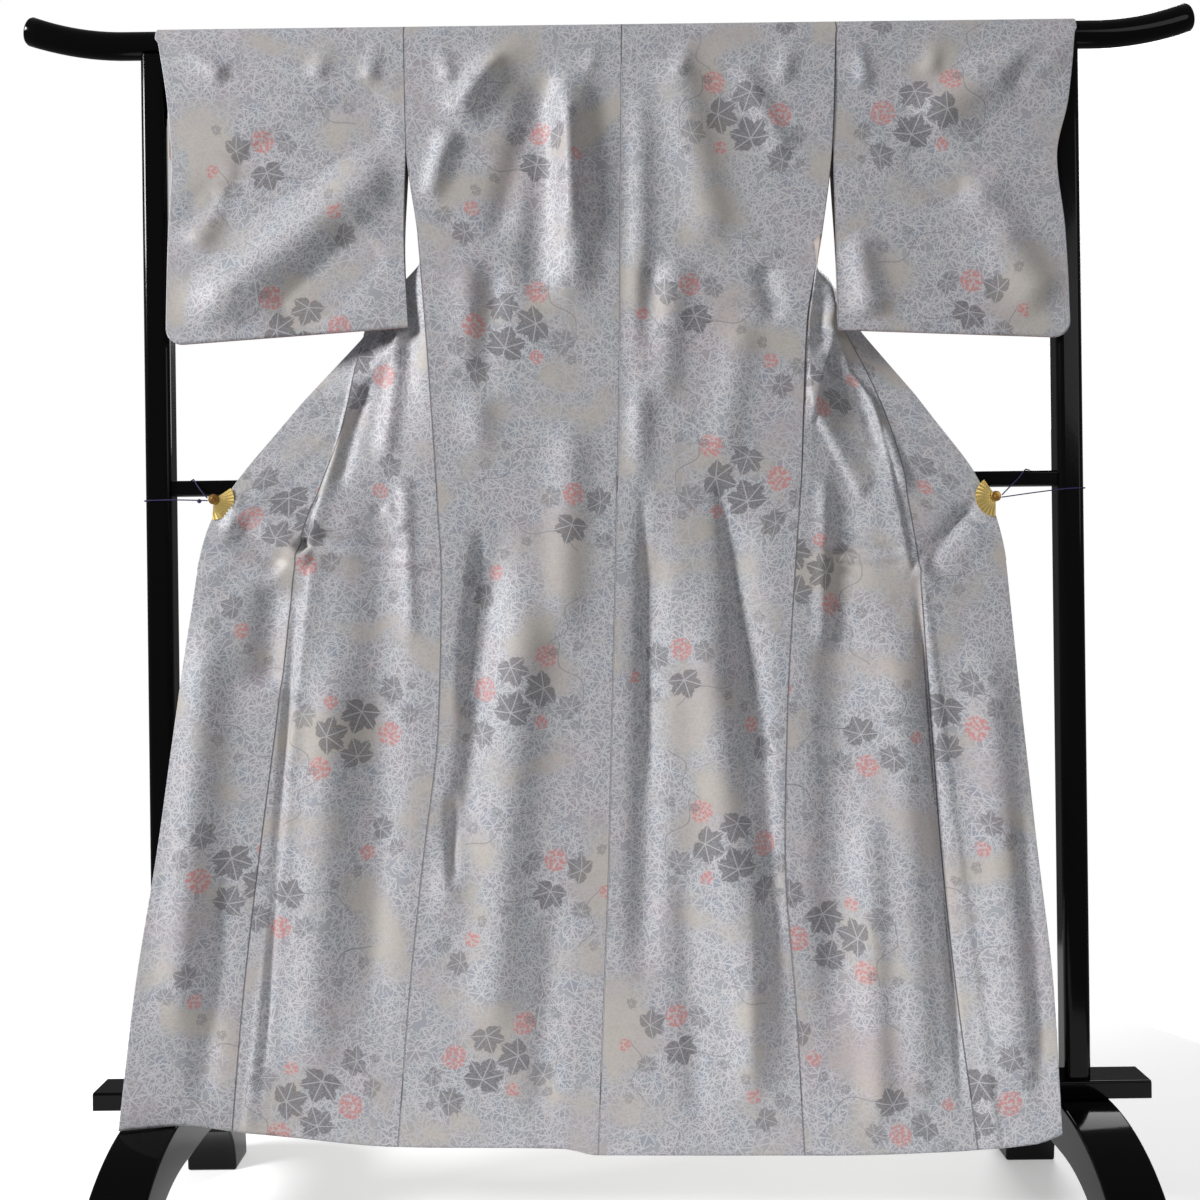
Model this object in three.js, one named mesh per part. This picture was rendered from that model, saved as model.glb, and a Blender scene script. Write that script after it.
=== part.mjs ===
// A lined silk kimono, hung with its back to the viewer over the rod of a lacquered stand,
// its two fronts opened sideways and held by fan clips tied to the stand's uprights.
// Millimetres, +Z up, -Y towards the viewer, the floor at Z = 0 and the stand's middle at X = Y = 0.
import * as THREE from 'three';

// ---- Driving dimensions ------------------------------------------------------------------
const CLOTH = 1.6;            // wall of outer silk and lining together
const COLLAR_CLOTH = 3;       // the collar is folded double
const SEAM = 0.3;             // gap between two pieces at a seam
const TOUCH = 0.3;            // gap between two hard pieces that meet

const ROD = { radius: 19, axisZ: 1717, half: 838, straightHalf: 700, tipRise: 24 };
const UPRIGHT = { x: 655, side: 37, round: 9 };
const RAIL = { low: 1065, high: 1087, depth: 22, round: 4 };
const PLANK = { half: 754, depth: 54, low: 188, high: 214, round: 3 };
const FOOT = { x: 657, width: 78, half: 245, top: 187.7, flat: 27, power: 2.1, archHalf: 185, archTop: 118 };

const DRAPE_R = ROD.radius + 1 + CLOTH / 2;   // middle of the cloth as it bends over the rod
const TOP_Z = ROD.axisZ + DRAPE_R;              // depths t are measured down from here

const ARMHOLE = 180;          // depth where the sleeve seam ends
const SIDE_TOP = 306;         // depth where the side seam starts
const COLLAR_END = 780;       // depth of the collar's lower end
const OKUMI_TOP = { left: 545, right: 585 };    // depth of each overlap panel's upper tip
const BAND = 33;              // half the collar's width, measured level
const END_BAND = { left: 17, right: 10 };       // what shows of it at the collar's lower end
const ROLL = { from: 560, to: 760 };            // depths between which the rest rolls under
const TWIST = { from: 40, to: 540 };            // depths between which each front turns over

// The body's lines at depth t. A row for each level, columns in mm from the stand's middle.
const BODY = [
  { t: 0, centre: 18, sideL: -294, sideR: 325 },
  { t: 180, centre: 15, sideL: -292, sideR: 317 },
  { t: 306, centre: 12, sideL: -277, sideR: 301 },
  { t: 438, centre: 10, sideL: -267, sideR: 277 },
  { t: 568, centre: 7, sideL: -259, sideR: 270 },
  { t: 658, centre: 4, sideL: -254, sideR: 266 },
  { t: 718, centre: 2, sideL: -251, sideR: 261 },
  { t: 780, centre: 0, sideL: -248, sideR: 256 },
  { t: 998, centre: -8, sideL: -254, sideR: 241 },
  { t: 1198, centre: -15, sideL: -278, sideR: 235 },
  { t: 1398, centre: -25, sideL: -300, sideR: 247 },
  { t: 1600, centre: -35, sideL: -317, sideR: 256 },
];

// The opened fronts: the seam of each overlap panel and each front's free edge.
const FRONT = [
  { t: 438, okumiL: -343, okumiR: 336, edgeL: -366, edgeR: 365 },
  { t: 568, okumiL: -392, okumiR: 394, edgeL: -470, edgeR: 454 },
  { t: 658, okumiL: -424, okumiR: 412, edgeL: -540, edgeR: 514 },
  { t: 718, okumiL: -442, okumiR: 422, edgeL: -578, edgeR: 542 },
  { t: 780, okumiL: -457, okumiR: 431, edgeL: -595, edgeR: 555 },
  { t: 998, okumiL: -483, okumiR: 445, edgeL: -624, edgeR: 571 },
  { t: 1198, okumiL: -508, okumiR: 457, edgeL: -648, edgeR: 586 },
  { t: 1398, okumiL: -530, okumiR: 474, edgeL: -675, edgeR: 600 },
  { t: 1600, okumiL: -546, okumiR: 496, edgeL: -695, edgeR: 605 },
];

// How far each line stands in front of the stand's middle plane (Y) at depth t.
const DEPTH = [
  { t: 20, back: -20.8, side: -20.8, okumi: -24, edge: -24 },
  { t: 120, back: -23, side: -23, okumi: -24, edge: -24 },
  { t: 700, back: -26, side: -28, okumi: -27, edge: -24 },
  { t: 1100, back: -31, side: -34, okumi: -38, edge: -46 },
  { t: 1400, back: -36, side: -41, okumi: -50, edge: -70 },
  { t: 1600, back: -38, side: -44, okumi: -58, edge: -82 },
];

// The hem's depth across the whole spread garment, from the left front edge to the right.
const HEM = [
  { x: -700, t: 1553 }, { x: -620, t: 1552 }, { x: -540, t: 1567 }, { x: -470, t: 1577 },
  { x: -317, t: 1597 }, { x: -84, t: 1605 }, { x: -35, t: 1615 }, { x: 256, t: 1616 },
  { x: 470, t: 1607 }, { x: 570, t: 1590 }, { x: 605, t: 1574 },
];

// The collar's middle line at depth t: the level middle of the band, and its Y.
const COLLAR_LINE = [
  { t: 20, y: 22 }, { t: 250, y: 25 }, { t: 360, y: 27 }, { t: 440, y: 16 },
  { t: 513, y: 3 }, { t: 600, y: -13 }, { t: 660, y: -23 }, { t: 780, y: -26 },
];
const COLLAR_SLOPE = { left: { at: -62, per: -0.69 }, right: { at: 95, per: 0.604 } };

// The neck: where each body strip's inner edge lies on the rod, by the angle round the rod.
const NECK = [
  { turn: 0, out: 0 }, { turn: 88, out: 0 }, { turn: 97, out: 30 }, { turn: 115, out: 62 },
  { turn: 140, out: 88 }, { turn: 180, out: 112 },
];

// The front edge of each front panel, at depth t: its Y as it leaves the sleeve's rear
// layer and comes forward to the side seam, and how far the panel bellies backwards.
const FRONT_SIDE = [
  { t: 20, y: 20.8, belly: 0 }, { t: 60, y: 21, belly: 4 }, { t: 180, y: 6, belly: 14 },
  { t: 250, y: -8, belly: 12 }, { t: 306, y: -23, belly: 0 }, { t: 360, y: -24, belly: 0 },
  { t: 440, y: -24.5, belly: 9 }, { t: 560, y: -26, belly: 6 }, { t: 700, y: -28, belly: 0 },
];

// Each sleeve's edges at depth t. The inner edge is how far it strays from the armhole's X.
const SLEEVE = {
  left: {
    inner: [{ t: 180, x: 0 }, { t: 310, x: -4 }, { t: 440, x: 1 }],
    outer: [
      { t: 0, x: -649 }, { t: 120, x: -632 }, { t: 200, x: -627 }, { t: 310, x: -633 }, { t: 440, x: -637 },
    ],
    hem: { inner: 438, outer: 460 },
  },
  right: {
    inner: [{ t: 180, x: 0 }, { t: 310, x: 2 }, { t: 440, x: 4 }],
    outer: [
      { t: 0, x: 668 }, { t: 120, x: 655 }, { t: 205, x: 637 }, { t: 310, x: 647 }, { t: 440, x: 652 },
    ],
    hem: { inner: 449, outer: 464 },
  },
};
const CUFF = 200;             // depth of the open part of the cuff
const SLEEVE_CORNER = 24;     // radius of the sleeve's lower outer corner
const UPRIGHT_CLEAR = 632;    // the rear layer keeps inboard of the upright at this X

// The largest folds. Each runs from (x0, t0) to (x1, t1) on its panel, width wide, and
// stands rise mm proud of the panel (towards the viewer), or sinks if rise is negative.
const BACK_FOLDS = [
  { x0: -48, t0: 50, x1: -55, t1: 420, width: 26, rise: 7 },
  { x0: -95, t0: 60, x1: -110, t1: 420, width: 24, rise: -6 },
  { x0: -125, t0: 5, x1: -230, t1: 150, width: 26, rise: 6 },
  { x0: -165, t0: 700, x1: -245, t1: 1240, width: 24, rise: -9 },
  { x0: -120, t0: 760, x1: -190, t1: 1500, width: 34, rise: 7 },
  { x0: 34, t0: 60, x1: 28, t1: 700, width: 20, rise: 6 },
  { x0: 56, t0: 680, x1: 30, t1: 1400, width: 22, rise: -7 },
  { x0: 160, t0: 640, x1: 235, t1: 1420, width: 24, rise: -9 },
  { x0: 120, t0: 780, x1: 190, t1: 1560, width: 32, rise: 7 },
  { x0: 90, t0: 40, x1: 150, t1: 340, width: 30, rise: 5 },
];
const FRONT_FOLDS = [
  { x0: -545, t0: 715, x1: -470, t1: 780, width: 20, rise: -6 },
  { x0: -485, t0: 790, x1: -500, t1: 960, width: 26, rise: -8 },
  { x0: -575, t0: 820, x1: -620, t1: 1500, width: 30, rise: 7 },
  { x0: -400, t0: 860, x1: -440, t1: 1560, width: 34, rise: 6 },
  { x0: -330, t0: 600, x1: -350, t1: 1500, width: 34, rise: -6 },
  { x0: 520, t0: 700, x1: 436, t1: 800, width: 20, rise: -6 },
  { x0: 330, t0: 560, x1: 300, t1: 1500, width: 34, rise: -7 },
  { x0: 395, t0: 820, x1: 420, t1: 1560, width: 30, rise: 6 },
  { x0: 520, t0: 860, x1: 550, t1: 1560, width: 30, rise: 7 },
];
const SLEEVE_FOLDS = [
  { x0: -300, t0: 195, x1: -610, t1: 440, width: 36, rise: 7 },
  { x0: -300, t0: 110, x1: -620, t1: 300, width: 34, rise: -6 },
  { x0: -340, t0: 300, x1: -470, t1: 440, width: 34, rise: -6 },
  { x0: 660, t0: 20, x1: 430, t1: 160, width: 32, rise: 6 },
  { x0: 335, t0: 310, x1: 370, t1: 440, width: 28, rise: 6 },
  { x0: 500, t0: 230, x1: 620, t1: 430, width: 34, rise: 6 },
];

// ---- Small helpers -----------------------------------------------------------------------
const lerp = (a, b, f) => a + (b - a) * f;
const clamp = (v, low, high) => Math.min(high, Math.max(low, v));
const smooth = (v) => v * v * (3 - 2 * v);
const rad = (degrees) => degrees * Math.PI / 180;

// A smooth value from a table's column, never beyond the rows on both sides of the key.
function look(table, key, at, column) {
  const last = table.length - 1;
  if (at <= table[0][key]) return table[0][column];
  if (at >= table[last][key]) return table[last][column];
  let i = 0;
  while (table[i + 1][key] < at) i += 1;
  const step = (k) => (table[k + 1][column] - table[k][column]) / (table[k + 1][key] - table[k][key]);
  const slope = (k) => {
    if (k === 0) return step(0);
    if (k === last) return step(last - 1);
    const before = step(k - 1);
    const after = step(k);
    return before * after > 0 ? 2 * before * after / (before + after) : 0;
  };
  const span = table[i + 1][key] - table[i][key];
  const f = (at - table[i][key]) / span;
  const p = table[i][column];
  const q = table[i + 1][column];
  const m = slope(i) * span;
  const n = slope(i + 1) * span;
  const f2 = f * f;
  const f3 = f2 * f;
  return (2 * f3 - 3 * f2 + 1) * p + (f3 - 2 * f2 + f) * m + (3 * f2 - 2 * f3) * q + (f3 - f2) * n;
}

// How far the folds of a table lift the point at (x, t).
function lift(folds, x, t) {
  let sum = 0;
  for (const fold of folds) {
    const dx = fold.x1 - fold.x0;
    const dt = fold.t1 - fold.t0;
    const along = clamp(((x - fold.x0) * dx + (t - fold.t0) * dt) / (dx * dx + dt * dt), 0, 1);
    const away = Math.hypot(x - fold.x0 - along * dx, t - fold.t0 - along * dt);
    const fade = smooth(clamp(Math.min(along, 1 - along) * 5, 0, 1));
    sum += fold.rise * fade * Math.exp(-((away / fold.width) ** 2));
  }
  return sum;
}

// A closed wall of even thickness, whose middle surface is a grid of points. Facing the
// side that the rows-by-columns cross product points to, rows run up and columns right.
function wall(grid, thickness) {
  const rows = grid.length;
  const cols = grid[0].length;
  const positions = [];
  const normalAt = (i, j) => {
    const up = grid[Math.min(i + 1, rows - 1)][j].clone().sub(grid[Math.max(i - 1, 0)][j]);
    const right = grid[i][Math.min(j + 1, cols - 1)].clone().sub(grid[i][Math.max(j - 1, 0)]);
    return right.cross(up).normalize();
  };
  for (const side of [0.5, -0.5]) {
    for (let i = 0; i < rows; i += 1) {
      for (let j = 0; j < cols; j += 1) {
        const point = grid[i][j].clone().addScaledVector(normalAt(i, j), side * thickness);
        positions.push(point.x, point.y, point.z);
      }
    }
  }
  const index = [];
  const front = (i, j) => i * cols + j;
  const back = (i, j) => rows * cols + i * cols + j;
  const quad = (a, b, c, d) => index.push(a, b, c, a, c, d);
  for (let i = 0; i < rows - 1; i += 1) {
    for (let j = 0; j < cols - 1; j += 1) {
      quad(front(i, j), front(i, j + 1), front(i + 1, j + 1), front(i + 1, j));
      quad(back(i, j), back(i + 1, j), back(i + 1, j + 1), back(i, j + 1));
    }
    quad(front(i, 0), front(i + 1, 0), back(i + 1, 0), back(i, 0));
    quad(front(i + 1, cols - 1), front(i, cols - 1), back(i, cols - 1), back(i + 1, cols - 1));
  }
  for (let j = 0; j < cols - 1; j += 1) {
    quad(front(0, j + 1), front(0, j), back(0, j), back(0, j + 1));
    quad(front(rows - 1, j), front(rows - 1, j + 1), back(rows - 1, j + 1), back(rows - 1, j));
  }
  const geometry = new THREE.BufferGeometry();
  geometry.setAttribute('position', new THREE.Float32BufferAttribute(positions, 3));
  geometry.setIndex(index);
  return geometry;
}

const model = new THREE.Group();

function add(name, geometry, look_) {
  const material = new THREE.MeshStandardMaterial(look_);
  const mesh = new THREE.Mesh(geometry, material);
  mesh.name = name;
  model.add(mesh);
  return mesh;
}

const SILK = { color: 0xb9babd, roughness: 0.45, metalness: 0 };
const LACQUER = { color: 0x0b0a0b, roughness: 0.12, metalness: 0 };
const GOLD = { color: 0xc9a24a, roughness: 0.25, metalness: 1 };
const CORD = { color: 0x2c2448, roughness: 0.7, metalness: 0 };

const signOf = (side) => (side === 'left' ? -1 : 1);
const column = (name, side) => name + (side === 'left' ? 'L' : 'R');

// ---- The garment's lines -----------------------------------------------------------------
const centreX = (t) => look(BODY, 't', t, 'centre');
const sideX = (side, t) => look(BODY, 't', t, column('side', side));
const hemT = (x) => look(HEM, 'x', x, 't');

// A point on the rod's wrap: turn is 0 at the front of the rod and 180 at its back.
function onRod(x, turn, extra = 0) {
  const r = DRAPE_R + extra;
  return new THREE.Vector3(x, -r * Math.cos(rad(turn)), ROD.axisZ + r * Math.sin(rad(turn)));
}

// Level lines stretch a little below WAIST, so that the lowest one follows the hem.
const WAIST = 900;
const LAST_T = 1600;
function toHem(x, t) {
  if (t <= WAIST) return t;
  return lerp(WAIST, hemT(x), (t - WAIST) / (LAST_T - WAIST));
}

// The back panel between the centre seam (0) and the side seam (1), at depth t.
function backPoint(side, across, t) {
  const x = lerp(centreX(t) + signOf(side) * SEAM / 2, sideX(side, t) - signOf(side) * SEAM / 2, across);
  const edge = Math.min(across, 1 - across);
  const y = lerp(look(DEPTH, 't', t, 'back'), look(DEPTH, 't', t, 'side'), across);
  const fade = smooth(clamp((t - 22) / 60, 0, 1)) * smooth(clamp(edge * 6, 0, 1));
  const down = toHem(x, t);
  return new THREE.Vector3(x, y - fade * lift(BACK_FOLDS, x, t), TOP_Z - down);
}

// The collar band's two edges at depth t: its seam and its folded edge. The band lies
// behind the back panels at the neck, turns half over on the way down, and faces the
// viewer beside the body from the clip on.
function collarEdges(side, t) {
  const s = signOf(side);
  const slope = COLLAR_SLOPE[side];
  const turn = rad(180 * clamp((t - TWIST.from) / (TWIST.to - TWIST.from), 0, 1));
  const straight = slope.at + slope.per * (t - 20);
  const band = lerp(BAND, END_BAND[side], smooth(clamp((t - ROLL.from) / (ROLL.to - ROLL.from), 0, 1)));
  const free = look(FRONT, 't', t, column('edge', side)) + s * band * Math.cos(turn);
  const blend = smooth(clamp((t - 330) / 110, 0, 1));
  const x = lerp(straight, free, blend);
  const y = look(COLLAR_LINE, 't', t, 'y');
  const reach = new THREE.Vector3(-s * Math.cos(turn), Math.sin(turn), 0).multiplyScalar(band);
  const middle = new THREE.Vector3(x, y, TOP_Z - t);
  return { seam: middle.clone().sub(reach), fold: middle.clone().add(reach) };
}

// The free front edge below the collar.
function frontEdge(side, t) {
  const x = look(FRONT, 't', t, column('edge', side));
  return new THREE.Vector3(x, look(DEPTH, 't', t, 'edge'), TOP_Z - toHem(x, t));
}

// The cloth keeps this far from the collar's seam, more where the two meet at an angle.
const COLLAR_GAP = [
  { t: 20, gap: 0.5 }, { t: 120, gap: 1.5 }, { t: 306, gap: 3 }, { t: 480, gap: 2.2 },
  { t: 620, gap: 1.2 }, { t: 780, gap: 0.6 },
];

// One level row of an opened front: from the side edge to where the front ends, which is
// the collar's seam above the collar's end and the free edge below it.
function frontRow(side, t, aboveEnd) {
  const s = signOf(side);
  const x = sideX(side, t) + (t > SIDE_TOP ? s * SEAM / 2 : -s * SEAM / 2);
  const y = t < 700 ? look(FRONT_SIDE, 't', t, 'y') : look(DEPTH, 't', t, 'side');
  const start = new THREE.Vector3(x, y, TOP_Z - toHem(x, t));
  const end = aboveEnd ? collarEdges(side, t).seam : frontEdge(side, t);
  const belly = look(FRONT_SIDE, 't', t, 'belly');
  const okumiX = look(FRONT, 't', t, column('okumi', side));
  const okumiAt = t < OKUMI_TOP[side] ? 1 : clamp((okumiX - start.x) / (end.x - start.x), 0, 1);
  const okumiY = t < 700 ? lerp(start.y, end.y, okumiAt) : look(DEPTH, 't', t, 'okumi');
  return { start, end, belly, okumiAt, okumiY };
}

function frontPoint(row, across, t) {
  const point = row.start.clone().lerp(row.end, across);
  if (t >= 700) {
    const at = row.okumiAt;
    const y = across < at ? lerp(row.start.y, row.okumiY, across / at)
      : lerp(row.okumiY, row.end.y, (across - at) / (1 - at));
    point.y = lerp(point.y, y, clamp((t - 700) / 80, 0, 1));
  }
  const lean = Math.sin(Math.PI * across) ** 2;
  point.y += row.belly * lean;
  const fade = smooth(clamp((t - 560) / 120, 0, 1)) * smooth(clamp(across * 6, 0, 1));
  point.y -= fade * lift(FRONT_FOLDS, point.x, t);
  point.z = TOP_Z - toHem(point.x, t);
  return point;
}

// ---- Pieces of the garment ---------------------------------------------------------------
const BACK_ROWS = [
  1600, 1500, 1400, 1290, 1180, 1070, 960, 850, 740, 630, 520, 410, 306, 240, 180, 110, 60, 30,
];
const OVER_ROD = [0, 25, 50, 70, 88, 97, 115, 140, 165, 180];
const FRONT_ROWS = [45, 80, 120, 180, 240, 306, 340, 380, 430, 480];
const LOWER_ROWS = { left: [512, 570, 620, 670, 720, 779.8], right: [520, 566, 620, 670, 720, 779.8] };
const SKIRT_ROWS = [780.2, 850, 950, 1060, 1180, 1300, 1400, 1500, 1600];
const BODY_COLUMNS = 9;

// One strip of cloth from the back hem, over the shoulder and down to the front hem.
function bodyStrip(side) {
  const s = signOf(side);
  const grid = [];
  const fractions = [...Array(BODY_COLUMNS + 1).keys()].map((k) => k / BODY_COLUMNS);
  for (const t of BACK_ROWS) grid.push(fractions.map((f) => backPoint(side, f, t)));
  for (const turn of OVER_ROD) {
    const inner = centreX(0) + s * (SEAM / 2 + look(NECK, 'turn', turn, 'out'));
    const outer = sideX(side, 0) - s * SEAM / 2;
    grid.push(fractions.map((f) => onRod(lerp(inner, outer, f), turn)));
  }
  const frontRows = [...FRONT_ROWS, ...LOWER_ROWS[side], ...SKIRT_ROWS];
  for (const t of frontRows) {
    const row = frontRow(side, t, t < COLLAR_END);
    const span = row.end.distanceTo(row.start);
    const seamGap = row.okumiAt < 1 ? SEAM / 2 : look(COLLAR_GAP, 't', t, 'gap');
    const stop = row.okumiAt - seamGap / span;
    grid.push(fractions.map((f) => frontPoint(row, (1 - f) * stop, t)));
  }
  if (side === 'left') grid.forEach((points) => points.reverse());
  return wall(grid, CLOTH);
}

const OKUMI_COLUMNS = 4;

// The overlap panel: from its upper tip beside the collar, down to the front hem.
function okumi(side) {
  const fractions = [...Array(OKUMI_COLUMNS + 1).keys()].map((k) => k / OKUMI_COLUMNS);
  const grid = [];
  const upper = LOWER_ROWS[side].filter((t) => t > OKUMI_TOP[side]);
  for (const t of [OKUMI_TOP[side] + 14, ...upper, ...SKIRT_ROWS]) {
    const above = t < COLLAR_END;
    const row = frontRow(side, t, above);
    const span = row.end.distanceTo(row.start);
    const from = row.okumiAt + SEAM / 2 / span;
    const to = 1 - (above ? look(COLLAR_GAP, 't', t, 'gap') / span : 0);
    grid.push(fractions.map((f) => frontPoint(row, lerp(from, to, f), t)));
  }
  if (side === 'right') grid.forEach((points) => points.reverse());
  return wall(grid, CLOTH);
}

// The collar: one folded band from the left front end, round the neck, to the right end.
const NECK_DROP = [
  { turn: 88, foldOut: 0, foldT: 44 }, { turn: 97, foldOut: 18, foldT: 45 },
  { turn: 115, foldOut: 36, foldT: 47 }, { turn: 140, foldOut: 53, foldT: 52 },
  { turn: 180, foldOut: 68, foldT: 62 },
];

const NECK_Y = 23.5;          // the collar hangs this far behind the rod's axis at the neck

function collarHalf(side) {
  const s = signOf(side);
  const c = centreX(0);
  const stations = [];
  for (const neck of NECK_DROP) {
    const out = look(NECK, 'turn', neck.turn, 'out');
    const points = [0, 1, 2].map((k) => {
      const turn = lerp(neck.turn + 4, 180, k / 2);
      return onRod(c + s * (lerp(out, neck.foldOut, k * 0.28) - 0.6), turn, 1.4 + k);
    });
    const reach = lerp(out, neck.foldOut, 0.78);
    points.push(new THREE.Vector3(c + s * reach, NECK_Y, TOP_Z - lerp(20, neck.foldT, 0.5)));
    points.push(new THREE.Vector3(c + s * neck.foldOut, NECK_Y + 0.5, TOP_Z - neck.foldT));
    stations.push(points);
  }
  const lower = LOWER_ROWS[side].slice(0, -1);
  for (const t of [...FRONT_ROWS.slice(1), ...lower, COLLAR_END - 2 * SEAM]) {
    const edges = collarEdges(side, t);
    const fall = 30 * smooth(clamp((200 - t) / 160, 0, 1));
    edges.fold.z -= fall;
    stations.push([0, 1, 2, 3, 4].map((k) => edges.seam.clone().lerp(edges.fold, k / 4)));
  }
  return stations;
}

function collar() {
  const left = collarHalf('left').reverse();
  const right = collarHalf('right').slice(1);
  return wall([...left, ...right], COLLAR_CLOTH);
}

const SLEEVE_ROWS = [1, 0.9, 0.78, 0.66, 0.54, 0.455, 0.36, 0.26, 0.16, 0.09];
const SLEEVE_COLUMNS = 9;

// A sleeve is one strip folded over the rod: front layer, wrap and rear layer, sewn to each
// other at the lower edge and below the cuff. It meets the body down to ARMHOLE only.
function sleeve(side) {
  const s = signOf(side);
  const shape = SLEEVE[side];
  const fractions = [...Array(SLEEVE_COLUMNS + 1).keys()].map((k) => 1 - (1 - k / SLEEVE_COLUMNS) ** 1.15);
  const hemAt = (f) => {
    const straight = lerp(shape.hem.inner, shape.hem.outer, f);
    const width = Math.abs(shape.outer[4].x - sideX(side, ARMHOLE));
    const intoCorner = clamp(SLEEVE_CORNER - (1 - f) * width, 0, SLEEVE_CORNER);
    return straight - SLEEVE_CORNER + Math.sqrt(SLEEVE_CORNER ** 2 - intoCorner ** 2);
  };
  const layer = (f, down, rear) => {
    const t = down * hemAt(f);
    const inner = sideX(side, Math.min(t, ARMHOLE)) + look(shape.inner, 't', t, 'x') + s * SEAM / 2;
    let outer = look(shape.outer, 't', t, 'x');
    if (rear) {
      const tucked = smooth(clamp((t - 28) / 30, 0, 1)) * smooth(clamp((CUFF - t) / 12, 0, 1));
      outer = lerp(outer, s * UPRIGHT_CLEAR, tucked);
    }
    const x = lerp(inner, outer, f);
    const frontY = lerp(-20.6, -25.5, smooth(clamp((t - 20) / 420, 0, 1)));
    const fade = smooth(clamp((t - 22) / 60, 0, 1)) * smooth(clamp((hemAt(f) - t) / 40, 0.25, 1));
    const fold = fade * lift(SLEEVE_FOLDS, x, t) * smooth(clamp(f * 8, 0, 1));
    if (!rear) return new THREE.Vector3(x, frontY - Math.max(fold, -3), TOP_Z - t);
    const bodySide = look(FRONT_SIDE, 't', Math.min(t, ARMHOLE), 'y');
    const innerY = t <= ARMHOLE ? bodySide : lerp(bodySide, -20.5, smooth(clamp((t - ARMHOLE) / 200, 0, 1)));
    const outerY = lerp(21, -20.5, smooth(clamp((t - 52) / (CUFF - 66), 0, 1)));
    const swing = smooth(clamp((f - 0.35) / 0.6, 0, 1));
    const rearY = lerp(innerY, outerY, swing);
    const pinch = Math.max(smooth(clamp((t - hemAt(f) + 30) / 30, 0, 1)), 0);
    const sewn = frontY + CLOTH + SEAM + 0.4;
    return new THREE.Vector3(x, lerp(rearY, sewn, pinch), TOP_Z - t);
  };
  const grid = SLEEVE_ROWS.map((down) => fractions.map((f) => layer(f, down, false)));
  for (const turn of [0, 22.5, 45, 67.5, 90, 112.5, 135, 157.5, 180]) {
    const inner = sideX(side, 0) + s * SEAM / 2;
    grid.push(fractions.map((f) => onRod(lerp(inner, shape.outer[0].x, f), turn)));
  }
  const rearRows = [...SLEEVE_ROWS].reverse();
  rearRows.forEach((down) => grid.push(fractions.map((f) => layer(f, down, true))));
  if (side === 'left') grid.forEach((points) => points.reverse());
  return wall(grid, CLOTH);
}

for (const side of ['left', 'right']) {
  add(`body_${side}`, bodyStrip(side), SILK);
  add(`okumi_${side}`, okumi(side), SILK);
  add(`sleeve_${side}`, sleeve(side), SILK);
}
add('collar', collar(), SILK);

// ---- The stand ---------------------------------------------------------------------------
function roundedRect(width, height, radius) {
  const shape = new THREE.Shape();
  const w = width / 2;
  const h = height / 2;
  shape.moveTo(-w + radius, -h);
  shape.lineTo(w - radius, -h);
  shape.absarc(w - radius, -h + radius, radius, -Math.PI / 2, 0);
  shape.lineTo(w, h - radius);
  shape.absarc(w - radius, h - radius, radius, 0, Math.PI / 2);
  shape.lineTo(-w + radius, h);
  shape.absarc(-w + radius, h - radius, radius, Math.PI / 2, Math.PI);
  shape.lineTo(-w, -h + radius);
  shape.absarc(-w + radius, -h + radius, radius, Math.PI, Math.PI * 1.5);
  return shape;
}

function bar(shape, length, curveSegments = 4) {
  return new THREE.ExtrudeGeometry(shape, { depth: length, bevelEnabled: false, curveSegments });
}

function rod() {
  const rise = (x) => {
    const past = clamp((Math.abs(x) - ROD.straightHalf) / (ROD.half - ROD.straightHalf), 0, 1);
    return ROD.axisZ + ROD.tipRise * past * past;
  };
  class RodLine extends THREE.Curve {
    getPoint(u) {
      const x = lerp(-ROD.half, ROD.half, u);
      return new THREE.Vector3(x, 0, rise(x));
    }
  }
  const section = new THREE.Shape();
  section.absarc(0, 0, ROD.radius, 0, Math.PI * 2);
  return new THREE.ExtrudeGeometry(section, {
    steps: 24, bevelEnabled: false, extrudePath: new RodLine(), curveSegments: 8,
  });
}

function foot() {
  const shape = new THREE.Shape();
  const over = (y, half, top, flat) => {
    const past = clamp((Math.abs(y) - flat) / (half - flat), 0, 1);
    return top * (1 - past ** FOOT.power) ** (1 / FOOT.power);
  };
  const angles = [...Array(13).keys()].map((k) => Math.cos(rad(k * 180 / 12)));
  shape.moveTo(FOOT.half, 0);
  for (const a of angles.slice(1, -1)) {
    shape.lineTo(a * FOOT.half, over(a * FOOT.half, FOOT.half, FOOT.top, FOOT.flat));
  }
  shape.lineTo(-FOOT.half, 0);
  shape.lineTo(-FOOT.archHalf, 0);
  for (const a of angles.slice(1, -1)) {
    shape.lineTo(-a * FOOT.archHalf, over(a * FOOT.archHalf, FOOT.archHalf, FOOT.archTop, 40));
  }
  shape.lineTo(FOOT.archHalf, 0);
  return bar(shape, FOOT.width);
}

add('rod', rod(), LACQUER);
const uprightLow = PLANK.high + TOUCH;
const uprightHigh = ROD.axisZ - ROD.radius - TOUCH;
for (const side of ['left', 'right']) {
  const s = signOf(side);
  const upright = bar(roundedRect(UPRIGHT.side, UPRIGHT.side, UPRIGHT.round), uprightHigh - uprightLow);
  add(`upright_${side}`, upright, LACQUER).position.set(s * UPRIGHT.x, 0, uprightLow);
  const arch = foot();
  arch.rotateX(Math.PI / 2).rotateZ(Math.PI / 2);
  add(`foot_${side}`, arch, LACQUER).position.set(s * FOOT.x - FOOT.width / 2, 0, 0);
}
const railHalf = UPRIGHT.x - UPRIGHT.side / 2 - TOUCH;
const rail = bar(roundedRect(RAIL.depth, RAIL.high - RAIL.low, RAIL.round), railHalf * 2);
rail.rotateX(Math.PI / 2).rotateZ(Math.PI / 2);
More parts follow.
